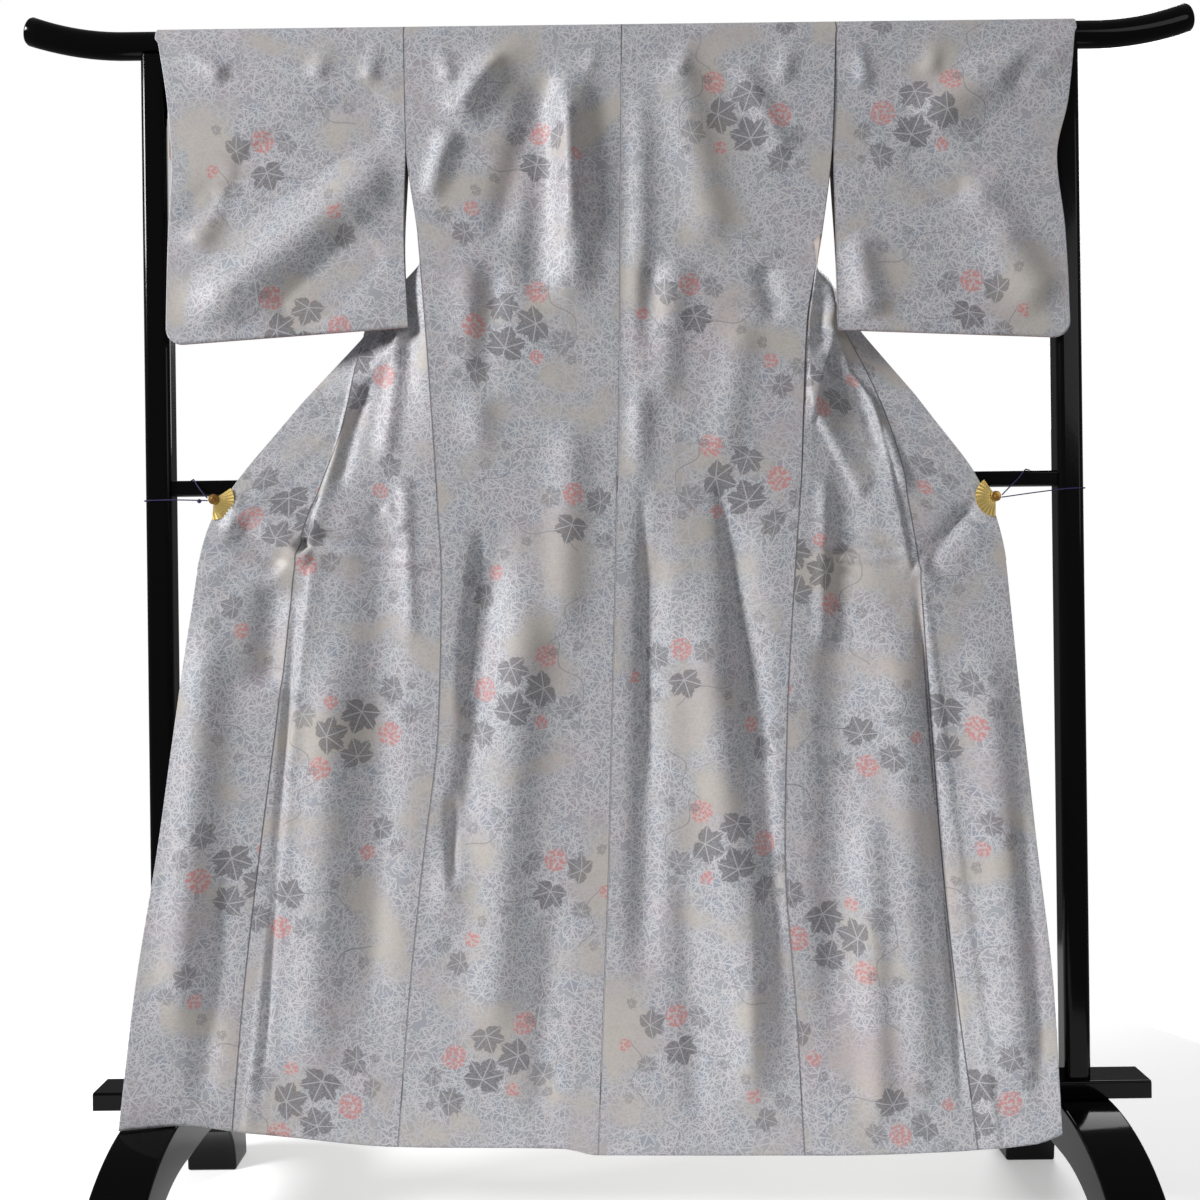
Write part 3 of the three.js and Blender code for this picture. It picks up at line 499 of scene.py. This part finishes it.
def sleeve_grid(side):
    """The strip of a sleeve: up its front layer, over the rod and down its rear layer."""
    s = sign(side)
    f = spread(330)
    hem_inner, hem_outer = SLEEVE_HEM[side]
    width = abs(SLEEVE_OUTER[side]["x"][-1] - look(BODY, column("side", side), ARMHOLE))
    corner = np.clip(CORNER - (1 - f) * width, 0, CORNER)
    hem = lerp(hem_inner, hem_outer, f) - CORNER + np.sqrt(CORNER**2 - corner**2)

    def layer(down, rear):
        t = down * hem
        inner = look(BODY, column("side", side), np.minimum(t, ARMHOLE))
        inner = inner + look(SLEEVE_INNER[side], "x", t) + s * GAP
        outer = look(SLEEVE_OUTER[side], "x", t)
        if rear:
            tucked = ease((t - 28) / 30) * ease((CUFF - t) / 12)
            outer = lerp(outer, s * CLEAR, tucked)
        x = lerp(inner, outer, f)
        y = lerp(-20.6, -25.5, ease((t - 20) / 420))
        fade = ease((t - 22) / 60) * np.clip(ease((hem - t) / 40), 0.25, 1) * ease(f * 8)
        if not rear:
            return points(x, y - np.maximum(fade * lift(SLEEVE_FOLDS, x, t), -3), TOP - t)
        body_y = look(FRONT_SIDE, "y", np.minimum(t, ARMHOLE))
        inner_y = lerp(body_y, -20.5, ease((t - ARMHOLE) / 200))
        outer_y = lerp(21, -20.5, ease((t - 52) / (CUFF - 66)))
        rear_y = lerp(inner_y, outer_y, ease((f - 0.35) / 0.6))
        sewn = y + 2.3
        return points(x, lerp(rear_y, sewn, ease((t - hem + 30) / 30)), TOP - t)

    downs = np.linspace(1, 26 / hem_inner, 86)
    grid = [layer(down, False) for down in downs]
    inner = look(BODY, column("side", side), 0) + s * GAP
    outer = SLEEVE_OUTER[side]["x"][0]
    grid += [on_rod(lerp(inner, outer, f), turn) for turn in np.linspace(0, 180, 25)]
    grid += [layer(down, True) for down in downs[::-1]]
    grid = np.array(grid)
    return grid[:, ::-1] if side == "left" else grid


# ---- Materials ---------------------------------------------------------------------------
def colour(red, green, blue):
    """A display colour of 0 to 255 as the linear colour that a shader takes."""
    return tuple(((v / 255 + 0.055) / 1.055) ** 2.4 for v in (red, green, blue)) + (1,)


class Tree:
    """Makes nodes in one tree, in the short form that the materials below need."""

    def __init__(self, tree):
        self.tree = tree

    def node(self, kind, **settings):
        made = self.tree.nodes.new("ShaderNode" + kind)
        for name, value in settings.items():
            setattr(made, name, value)
        return made

    def feed(self, socket, value):
        if isinstance(value, bpy.types.NodeSocket):
            self.tree.links.new(value, socket)
        else:
            socket.default_value = value

    def math(self, operation, *values, clamp=False):
        made = self.node("Math", operation=operation, use_clamp=clamp)
        for socket, value in zip(made.inputs, values):
            self.feed(socket, value)
        return made.outputs[0]

    def vector(self, operation, *values):
        made = self.node("VectorMath", operation=operation)
        for socket, value in zip(made.inputs, values):
            self.feed(socket, value)
        return made.outputs[1 if operation == "LENGTH" else 0]

    def mix(self, factor, a, b):
        made = self.node("Mix", data_type="RGBA")
        for socket, value in zip((made.inputs[0], made.inputs[6], made.inputs[7]), (factor, a, b)):
            self.feed(socket, value)
        return made.outputs[2]

    def above(self, value, edge, soft):
        """0 below edge, 1 above it, over a soft stretch."""
        return self.math("MULTIPLY", self.math("SUBTRACT", value, edge), 1 / soft, clamp=True)

    def noise(self, place, scale, detail=2.0, roughness=0.5):
        made = self.node("TexNoise")
        self.feed(made.inputs["Vector"], place)
        made.inputs["Scale"].default_value = scale
        made.inputs["Detail"].default_value = detail
        made.inputs["Roughness"].default_value = roughness
        return made.outputs[0]

    def group(self, tree, *values):
        made = self.node("Group", node_tree=tree)
        for socket, value in zip(made.inputs, values):
            self.feed(socket, value)
        return made.outputs


def new_group(name, inputs, outputs):
    tree = bpy.data.node_groups.new(name, "ShaderNodeTree")
    for label, kind in inputs:
        tree.interface.new_socket(label, in_out="INPUT", socket_type="NodeSocket" + kind)
    for label in outputs:
        tree.interface.new_socket(label, in_out="OUTPUT", socket_type="NodeSocketFloat")
    t = Tree(tree)
    return t, tree.nodes.new("NodeGroupInput").outputs, tree.nodes.new("NodeGroupOutput").inputs


# An ivy leaf's outline: its reach at an angle from its tip, as a part of half a turn.
LEAF_OUTLINE = [
    (0.0, 1.0), (0.03, 0.95), (0.065, 0.88), (0.10, 0.78), (0.115, 0.83), (0.145, 0.74),
    (0.175, 0.64), (0.20, 0.74), (0.235, 0.86), (0.26, 0.83), (0.29, 0.97), (0.325, 0.92),
    (0.35, 0.84), (0.375, 0.87), (0.41, 0.74), (0.455, 0.62), (0.49, 0.72), (0.53, 0.74),
    (0.57, 0.86), (0.61, 0.80), (0.64, 0.70), (0.69, 0.68), (0.75, 0.58), (0.83, 0.54),
    (0.90, 0.44), (0.96, 0.30), (1.0, 0.14)]
LEAF_VEINS = (55, 104)


def leaf_group():
    """How far a point is inside a leaf, in parts of its size, and how near a vein."""
    inputs = (("Place", "Vector"), ("Centre", "Vector"), ("Size", "Float"), ("Angle", "Float"))
    t, given, out = new_group("leaf", inputs, ("Inside", "Vein"))
    offset = t.vector("SUBTRACT", given[0], given[1])
    turn = t.node("VectorRotate", rotation_type="Z_AXIS")
    t.feed(turn.inputs["Vector"], offset)
    t.feed(turn.inputs["Angle"], given[3])
    parts = t.node("SeparateXYZ")
    t.feed(parts.inputs[0], turn.outputs[0])
    x = t.math("DIVIDE", t.math("ABSOLUTE", parts.outputs[0]), given[2])
    y = t.math("DIVIDE", parts.outputs[1], given[2])
    reach = t.math("SQRT", t.math("ADD", t.math("MULTIPLY", x, x), t.math("MULTIPLY", y, y)))
    half_turns = t.math("DIVIDE", t.math("ARCTAN2", x, y), math.pi)
    outline = t.node("FloatCurve")
    curve = outline.mapping.curves[0]
    for at, value in LEAF_OUTLINE[1:-1]:
        curve.points.new(at, value)
    for point, (at, value) in zip(curve.points, LEAF_OUTLINE):
        point.location = (at, value)
        point.handle_type = "VECTOR"
    outline.mapping.update()
    t.feed(outline.inputs["Value"], half_turns)
    t.feed(out[0], t.math("SUBTRACT", outline.outputs[0], reach))
    nearest = t.math("MAXIMUM", x, t.math("MULTIPLY_ADD", y, -0.2, -0.04))
    for vein in LEAF_VEINS:
        sine, cosine = math.sin(math.radians(vein)), math.cos(math.radians(vein))
        across = t.math("SUBTRACT", t.math("MULTIPLY", x, cosine), t.math("MULTIPLY", y, sine))
        behind = t.math("MULTIPLY_ADD", x, -sine, t.math("MULTIPLY", y, -cosine))
        off = t.math("MAXIMUM", t.math("ABSOLUTE", across), behind)
        nearest = t.math("MINIMUM", nearest, off)
    t.feed(out[1], nearest)
    return t.tree


def tendril_group():
    """1 on a thin waving stem of the given length."""
    inputs = (("Place", "Vector"), ("Centre", "Vector"), ("Size", "Float"), ("Angle", "Float"))
    t, given, out = new_group("tendril", inputs, ("Line",))
    turn = t.node("VectorRotate", rotation_type="Z_AXIS")
    t.feed(turn.inputs["Vector"], t.vector("SUBTRACT", given[0], given[1]))
    t.feed(turn.inputs["Angle"], given[3])
    parts = t.node("SeparateXYZ")
    t.feed(parts.inputs[0], turn.outputs[0])
    x = t.math("DIVIDE", parts.outputs[0], given[2])
    wave = t.math("MULTIPLY", t.math("SINE", t.math("MULTIPLY", x, 4.6)), 0.008)
    off = t.math("ABSOLUTE", t.math("SUBTRACT", parts.outputs[1], wave))
    inside = t.above(t.math("SUBTRACT", 1.0, t.math("ABSOLUTE", x)), 0.0, 0.05)
    line = t.above(t.math("SUBTRACT", 0.0011, off), 0.0, 0.0006)
    t.feed(out[0], t.math("MULTIPLY", inside, line))
    return t.tree


# One repeat of the motif, in metres on the flat cloth, and the angle each thing points to.
REPEAT = 0.52
LEAVES = table(
    "x y size angle dark",
    (0.112, 0.096, 0.034, 20, 1.0), (0.160, 0.130, 0.032, 250, 0.95),
    (0.114, 0.160, 0.029, 160, 0.9), (0.198, 0.100, 0.024, 320, 0.6),
    (0.066, 0.064, 0.025, 70, 0.8), (0.040, 0.102, 0.018, 120, 0.6),
    (0.190, 0.362, 0.029, 200, 0.95), (0.234, 0.394, 0.025, 300, 0.85),
    (0.160, 0.404, 0.020, 130, 0.65), (0.236, 0.336, 0.017, 10, 0.6),
    (0.068, 0.262, 0.022, 250, 0.8), (0.040, 0.290, 0.017, 150, 0.6),
    (0.040, 0.058, 0.009, 30, 0.7), (0.206, 0.076, 0.010, 340, 0.6),
    (0.212, 0.190, 0.011, 220, 0.55), (0.176, 0.182, 0.010, 180, 0.6),
    (0.092, 0.322, 0.011, 80, 0.6), (0.124, 0.338, 0.010, 20, 0.6),
    (0.262, 0.424, 0.010, 290, 0.6), (0.070, 0.452, 0.012, 140, 0.55),
    (0.104, 0.478, 0.010, 200, 0.6), (0.258, 0.290, 0.010, 60, 0.5))
BERRIES = table(
    "x y size", (0.070, 0.128, 0.0185), (0.166, 0.176, 0.0175), (0.196, 0.406, 0.0170),
    (0.156, 0.082, 0.0110), (0.268, 0.366, 0.0100), (0.082, 0.296, 0.0120))
TENDRILS = table(
    "x y size angle",
    (0.200, 0.150, 0.048, 60), (0.062, 0.078, 0.040, -130), (0.148, 0.352, 0.060, 20),
    (0.250, 0.330, 0.045, 95), (0.110, 0.452, 0.056, -35), (0.190, 0.228, 0.040, 110))


# The ground's layers of small leaves: leaves to a metre, and how far each layer is moved.
GROUND_LEAVES = ((28, 0.0), (35, 3.1), (46, 7.7))


def silk_material():
    """Silver-grey satin: a ground of small outlined ivy leaves, and a repeat of ivy and berries."""
    material = bpy.data.materials.new("silk")
    material.use_nodes = True
    t = Tree(material.node_tree)
    shader = material.node_tree.nodes["Principled BSDF"]
    given = t.node("Attribute", attribute_name="cloth")
    parts = t.node("SeparateXYZ")
    t.feed(parts.inputs[0], given.outputs["Vector"])
    across, along, from_seam = parts.outputs
    whole = t.node("CombineXYZ")
    t.feed(whole.inputs[0], across)
    t.feed(whole.inputs[1], along)
    place = whole.outputs[0]
    tile = t.node("CombineXYZ")
    t.feed(tile.inputs[0], across)
    t.feed(tile.inputs[1], t.math("FLOORED_MODULO", along, REPEAT))
    leaf = leaf_group()

    beige, blue = colour(175, 169, 163), colour(153, 155, 162)
    lavender, pink = colour(162, 153, 162), colour(177, 158, 159)
    bare = t.above(t.noise(place, 9, 3), 0.37, 0.13)
    ground = t.mix(bare, beige, blue)
    patches = t.math("MULTIPLY", t.above(t.noise(place, 6.3, 2), 0.50, 0.25), 0.7)
    ground = t.mix(patches, ground, lavender)
    patches = t.math("MULTIPLY", t.above(t.noise(place, 4.1, 2), 0.56, 0.2), 0.45)
    ground = t.mix(patches, ground, pink)
    lines = 0.0
    for scale, shift in GROUND_LEAVES:
        cells = t.node("TexVoronoi", voronoi_dimensions="2D")
        spot = t.vector("ADD", place, (shift, shift * 0.7, 0))
        t.feed(cells.inputs["Vector"], spot)
        cells.inputs["Scale"].default_value = scale
        random = t.node("SeparateColor")
        t.feed(random.inputs[0], cells.outputs["Color"])
        angle = t.math("MULTIPLY", random.outputs[0], 2 * math.pi)
        size = t.math("MULTIPLY_ADD", random.outputs[2], 0.15 / scale, 0.58 / scale)
        inside, vein = t.group(leaf, spot, cells.outputs["Position"], size, angle)
        shown = t.above(inside, 0.0, 0.06)
        fill = t.math("MULTIPLY", shown, t.math("MULTIPLY", random.outputs[1], 0.42))
        hue = t.above(random.outputs[2], 0.45, 0.2)
        shade = t.mix(hue, colour(128, 138, 152), colour(148, 140, 148))
        ground = t.mix(t.math("MULTIPLY", fill, bare), ground, shade)
        rim = t.math("SUBTRACT", 1.0, t.above(t.math("ABSOLUTE", inside), 0.022, 0.035))
        veins = t.math("MULTIPLY", t.math("SUBTRACT", 1.0, t.above(vein, 0.018, 0.03)), shown)
        lines = t.math("MAXIMUM", lines, t.math("MAXIMUM", rim, veins))
    patchy = t.math("MULTIPLY_ADD", bare, 0.62, 0.25)
    line_strength = t.math("MULTIPLY", t.math("MULTIPLY", lines, 0.72), patchy)
    ground = t.mix(line_strength, ground, colour(210, 208, 209))

    cloth = ground
    tendril = tendril_group()
    for x, y, size, angle in zip(*(TENDRILS[name] for name in "x y size angle".split())):
        line = t.group(tendril, tile.outputs[0], (x, y, 0), size, math.radians(angle))[0]
        cloth = t.mix(t.math("MULTIPLY", line, 0.7), cloth, colour(128, 126, 132))
    dots = t.node("TexVoronoi", voronoi_dimensions="2D")
    t.feed(dots.inputs["Vector"], place)
    dots.inputs["Scale"].default_value = 210
    dot = t.math("SUBTRACT", 1.0, t.above(dots.outputs["Distance"], 0.34, 0.16))
    for x, y, size in zip(*(BERRIES[name] for name in "x y size".split())):
        away = t.vector("LENGTH", t.vector("SUBTRACT", tile.outputs[0], (x, y, 0)))
        ball = t.above(t.math("SUBTRACT", size, away), 0.0, 0.002)
        cloth = t.mix(t.math("MULTIPLY", ball, 0.35), cloth, colour(196, 168, 167))
        berries = t.math("MULTIPLY", t.math("MULTIPLY", ball, dot), 0.85)
        cloth = t.mix(berries, cloth, colour(190, 128, 126))
    mottle = t.above(t.noise(place, 420, 2), 0.30, 0.35)
    for x, y, size, angle, dark in zip(*(LEAVES[name] for name in "x y size angle dark".split())):
        inside, vein = t.group(leaf, tile.outputs[0], (x, y, 0), size, math.radians(angle))
        shown = t.above(inside, 0.0, 0.05)
        cover = t.math("MULTIPLY", shown, t.math("MULTIPLY_ADD", mottle, 0.34 * dark, 0.54 * dark))
        cloth = t.mix(cover, cloth, colour(100, 98, 102))
        pale = t.math("MULTIPLY", t.math("SUBTRACT", 1.0, t.above(vein, 0.014, 0.02)), shown)
        cloth = t.mix(t.math("MULTIPLY", pale, 0.5), cloth, colour(206, 206, 210))

    # Painted shade: a thin dark line along each seam, where its groove would be shaded.
    seam_shade = t.math("SUBTRACT", 1.0, t.above(from_seam, 0.0006, 0.0008))
    cloth = t.mix(t.math("MULTIPLY", seam_shade, 0.72), cloth, colour(72, 68, 74))
    t.feed(shader.inputs["Base Color"], cloth)

    weave = t.node("TexWave", wave_type="BANDS", bands_direction="DIAGONAL")
    t.feed(weave.inputs["Vector"], place)
    weave.inputs["Scale"].default_value = 420
    weave.inputs["Distortion"].default_value = 1.5
    height = t.math("ADD", t.math("MULTIPLY", weave.outputs["Fac"], 0.35), t.noise(place, 900, 2))
    bump = t.node("Bump")
    bump.inputs["Strength"].default_value = 0.16
    bump.inputs["Distance"].default_value = 0.0004
    t.feed(bump.inputs["Height"], height)
    t.feed(shader.inputs["Normal"], bump.outputs[0])
    t.feed(shader.inputs["Roughness"], t.math("MULTIPLY_ADD", line_strength, -0.08, 0.54))
    shader.inputs["Specular IOR Level"].default_value = 0.38
    shader.inputs["Sheen Weight"].default_value = 0.14
    shader.inputs["Sheen Roughness"].default_value = 0.45
    return material


def plain_silk(name, base, other, roughness):
    """Unpatterned silk for the lining and the hem's edge, with a fine weave."""
    material = bpy.data.materials.new(name)
    material.use_nodes = True
    t = Tree(material.node_tree)
    shader = material.node_tree.nodes["Principled BSDF"]
    place = t.node("Attribute", attribute_name="cloth").outputs["Vector"]
    t.feed(shader.inputs["Base Color"], t.mix(t.noise(place, 30, 3), base, other))
    bump = t.node("Bump")
    bump.inputs["Strength"].default_value = 0.15
    bump.inputs["Distance"].default_value = 0.0004
    t.feed(bump.inputs["Height"], t.noise(place, 900, 2))
    t.feed(shader.inputs["Normal"], bump.outputs[0])
    shader.inputs["Roughness"].default_value = roughness
    shader.inputs["Sheen Weight"].default_value = 0.15
    return material


def hard_material(name, base, other, roughness, metallic, scale, specular=0.5, coat=0.0):
    """Lacquer or metal, with faint cloudiness in its colour and gloss."""
    material = bpy.data.materials.new(name)
    material.use_nodes = True
    t = Tree(material.node_tree)
    shader = material.node_tree.nodes["Principled BSDF"]
    place = t.node("TexCoord").outputs["Object"]
    cloud = t.noise(place, scale, 4)
    t.feed(shader.inputs["Base Color"], t.mix(cloud, base, other))
    cloudy = t.math("MULTIPLY_ADD", cloud, roughness * 0.5, roughness * 0.75)
    t.feed(shader.inputs["Roughness"], cloudy)
    bump = t.node("Bump")
    bump.inputs["Strength"].default_value = 0.05
    bump.inputs["Distance"].default_value = 0.0005
    t.feed(bump.inputs["Height"], t.noise(place, scale * 12, 2))
    t.feed(shader.inputs["Normal"], bump.outputs[0])
    shader.inputs["Metallic"].default_value = metallic
    shader.inputs["Specular IOR Level"].default_value = specular
    shader.inputs["Coat Weight"].default_value = coat
    shader.inputs["Coat Roughness"].default_value = 0.04
    return material


SILK = silk_material()
LINING = plain_silk("lining", colour(150, 139, 130), colour(164, 154, 146), 0.5)
HEM_EDGE = plain_silk("hem_edge", colour(176, 118, 120), colour(190, 140, 138), 0.5)
LACQUER = hard_material(
    "lacquer", colour(3, 3, 3), colour(6, 5, 6), 0.10, 0.0, 18, specular=0.12, coat=0.05)
GILT = hard_material("gilt", colour(250, 226, 150), colour(236, 200, 112), 0.22, 0.75, 160)
DARK_GILT = hard_material("dark_gilt", colour(190, 148, 78), colour(140, 104, 50), 0.30, 0.85, 160)
STRING = hard_material("string", colour(46, 36, 92), colour(30, 24, 62), 0.75, 0.0, 900)

# ---- The silk ----------------------------------------------------------------------------
# The overlap panel's area as cut, between its seams, in square metres.
OKUMI_AREA = 0.135            # it tapers to its upper end
# Where each piece starts along the bolt's repeat, in metres, and its width in millimetres.
SHIFT = {"left": 0.0, "right": 0.21, "okumi": 0.33, "sleeve": 0.12, "collar": 0.4}
WIDTH = {"okumi": 150, "sleeve": 330}


def finish_silk(piece, node, kind, **more):
    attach(piece, "root")
    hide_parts(node)


def make_silk():
    faces = [SILK, LINING, HEM_EDGE]
    for side in ("left", "right"):
        on_left, on_right = side == "left", side == "right"
        shift = SHIFT[side]
        body = shell("silk_body_" + side, body_grid(side), CLOTH, faces, shift, on_right)
        finish_silk(body, "body_" + side, "body")
        okumi = shell(
            "silk_okumi_" + side, okumi_grid(side), CLOTH, faces, shift + SHIFT["okumi"], on_left,
            WIDTH["okumi"], (on_left, on_right))
        finish_silk(okumi, "okumi_" + side, "okumi", area=OKUMI_AREA)
        sleeve = shell(
            "silk_sleeve_" + side, sleeve_grid(side), CLOTH, faces, shift + SHIFT["sleeve"],
            on_left, WIDTH["sleeve"], (on_right, on_left))
        finish_silk(sleeve, "sleeve_" + side, "sleeve")
    collar = shell(
        "silk_collar", collar_grid(), COLLAR_CLOTH, [SILK] * 3, SHIFT["collar"],
        seams=(False, False))
    finish_silk(collar, "collar", "collar")


make_silk()

# ---- The stand, clips and strings --------------------------------------------------------
# A foot's two arches: half its length, its height, half its flat top, and how square it is.
FOOT = {
    "x": 657, "width": 78, "power": 2.1,
    "half": 245, "top": 187.7, "flat": 27,
    "arch": 185, "arch_top": 118, "arch_flat": 40}
FOOT_POINTS = 65


def round_edges(piece, width, angle=35):
    bevel = piece.modifiers.new("edges", "BEVEL")
    bevel.width = width * MM
    bevel.segments = 3
    bevel.limit_method = "ANGLE"
    bevel.angle_limit = math.radians(angle)
    normals = piece.modifiers.new("normals", "WEIGHTED_NORMAL")
    normals.keep_sharp = True


def finish_wood(piece, node):
    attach(piece, "root")
    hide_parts(node)


def make_rod():
    """The rod: straight between the uprights, its rounded ends curving up."""
    around, along = 48, 120
    a = np.linspace(0, 2 * np.pi, around, endpoint=False)
    places = []
    end_in = [(0.0, 0.80), (1.2, 0.93), (3.5, 1.0)]
    xs = np.linspace(-ROD["half"] + 3.5, ROD["half"] - 3.5, along)
    rings = [(-ROD["half"] + d, k) for d, k in end_in[:2]] + [(x, 1.0) for x in xs]
    rings += [(ROD["half"] - d, k) for d, k in end_in[1::-1]]
    for x, k in rings:
        past = min(max((abs(x) - ROD["straight"]) / (ROD["half"] - ROD["straight"]), 0), 1)
        tilt = 2 * ROD["rise"] * past / (ROD["half"] - ROD["straight"]) * (1 if x > 0 else -1)
        r = ROD["radius"] * k
        across = r * np.sin(a)
        height = ROD["axis"] + ROD["rise"] * past**2
        places.append(points(x - across * tilt, r * np.cos(a), height + across))
    faces = []
    for i in range(len(rings) - 1):
        for j in range(around):
            k = (j + 1) % around
            here, there = i * around, (i + 1) * around
            faces.append((here + j, there + j, there + k, here + k))
    faces.append(tuple(range(around)))
    faces.append(tuple((len(rings) - 1) * around + j for j in range(around))[::-1])
    return mesh("lacquer_rod", np.concatenate(places), faces, [0] * len(faces), [LACQUER])


def arch_outline(half, top, flat, count):
    """The points of one arch of a foot, from its front end over the top to its back end."""
    y = half * np.cos(np.linspace(0, math.pi, count))
    past = np.clip((abs(y) - flat) / (half - flat), 0, 1)
    return y, top * (1 - past ** FOOT["power"]) ** (1 / FOOT["power"])


def make_foot(side):
    outer = arch_outline(FOOT["half"], FOOT["top"], FOOT["flat"], FOOT_POINTS)
    inner = arch_outline(FOOT["arch"], FOOT["arch_top"], FOOT["arch_flat"], FOOT_POINTS)
    outline = list(zip(*outer)) + list(zip(*inner))[::-1]
    count = len(outline)
    places, faces = [], []
    for x in (FOOT["x"] - FOOT["width"] / 2, FOOT["x"] + FOOT["width"] / 2):
        places += [(sign(side) * FOOT["x"] + x - FOOT["x"], y, z) for y, z in outline]
    half = count // 2
    for k in range(half - 1):
        faces.append((k, k + 1, count - 2 - k, count - 1 - k))
        faces.append((count + k + 1, count + k, 2 * count - 1 - k, 2 * count - 2 - k))
    for k in range(count):
        n = (k + 1) % count
        faces.append((k, count + k, count + n, n))
    piece = mesh("lacquer_foot_" + side, places, faces, [0] * len(faces), [LACQUER])
    round_edges(piece, 4)
    return piece


finish_wood(make_rod(), "rod")
for side in ("left", "right"):
    finish_wood(make_foot(side), "foot_" + side)


def paint(node, material):
    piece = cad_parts[node]
    for place in piece.material_slots:
        place.link = "OBJECT"
        place.material = material


for node in ("mid_rail", "base_plank"):
    paint(node, LACQUER)
paint("string_knot", STRING)
for side in ("left", "right"):
    paint("upright_" + side, LACQUER)
    paint("clip_fan_" + side, GILT)
    paint("clip_jaw_" + side, GILT)
    paint("clip_hub_" + side, DARK_GILT)
    paint("string_" + side, STRING)


# ---- Floor, light and output -------------------------------------------------------------
FLOOR_REACH = 1350
FLOOR_GLOW = 0.35             # keeps the floor as white as what is behind the stand
AMBIENT = 0.21                # light from all round, where the camera sees white


def make_stage():
    material = bpy.data.materials.new("floor")
    material.use_nodes = True
    t = Tree(material.node_tree)
    shader = material.node_tree.nodes["Principled BSDF"]
    place = t.node("TexCoord").outputs["Object"]
    pale = t.mix(t.noise(place, 2, 2), colour(238, 238, 238), colour(242, 242, 242))
    t.feed(shader.inputs["Base Color"], pale)
    shader.inputs["Roughness"].default_value = 0.7
    shader.inputs["Emission Color"].default_value = (1, 1, 1, 1)
    shader.inputs["Emission Strength"].default_value = FLOOR_GLOW
    turns = np.linspace(0, 2 * math.pi, 64, endpoint=False)
    rim = points(FLOOR_REACH * np.cos(turns), FLOOR_REACH * np.sin(turns), 0)
    floor = mesh("floor", rim, [tuple(range(len(rim)))], [0], [material])


def make_light(name, place, aim, size, power):
    data = bpy.data.lights.new(name, "AREA")
    data.shape = "DISK"
    data.size = size
    data.energy = power
    light = bpy.data.objects.new(name, data)
    light.location = place
    direction = np.array(aim) - np.array(place)
    flat = math.hypot(direction[0], direction[1])
    tilt, heading = math.atan2(flat, -direction[2]), math.atan2(-direction[0], direction[1])
    light.rotation_euler = (tilt, 0, heading)
    bpy.context.scene.collection.objects.link(light)


make_stage()
make_light("key", (-5.0, -2.3, 3.2), (0, 0, 1.0), 1.6, 420)
make_light("fill", (2.4, -2.6, 1.9), (0, 0, 1.0), 1.6, 13)
make_light("back", (1.2, 2.4, 2.4), (0, 0, 0.9), 2.0, 50)


def make_world():
    """White behind the stand, and a dimmer even light on it."""
    world = bpy.data.worlds.new("world")
    world.use_nodes = True
    t = Tree(world.node_tree)
    background = world.node_tree.nodes["Background"]
    background.inputs[0].default_value = (1, 1, 1, 1)
    seen = t.node("LightPath").outputs["Is Camera Ray"]
    t.feed(background.inputs[1], t.math("MULTIPLY_ADD", seen, 1.0 - AMBIENT, AMBIENT))
    bpy.context.scene.world = world


make_world()
bpy.context.scene.view_settings.view_transform = "Standard"
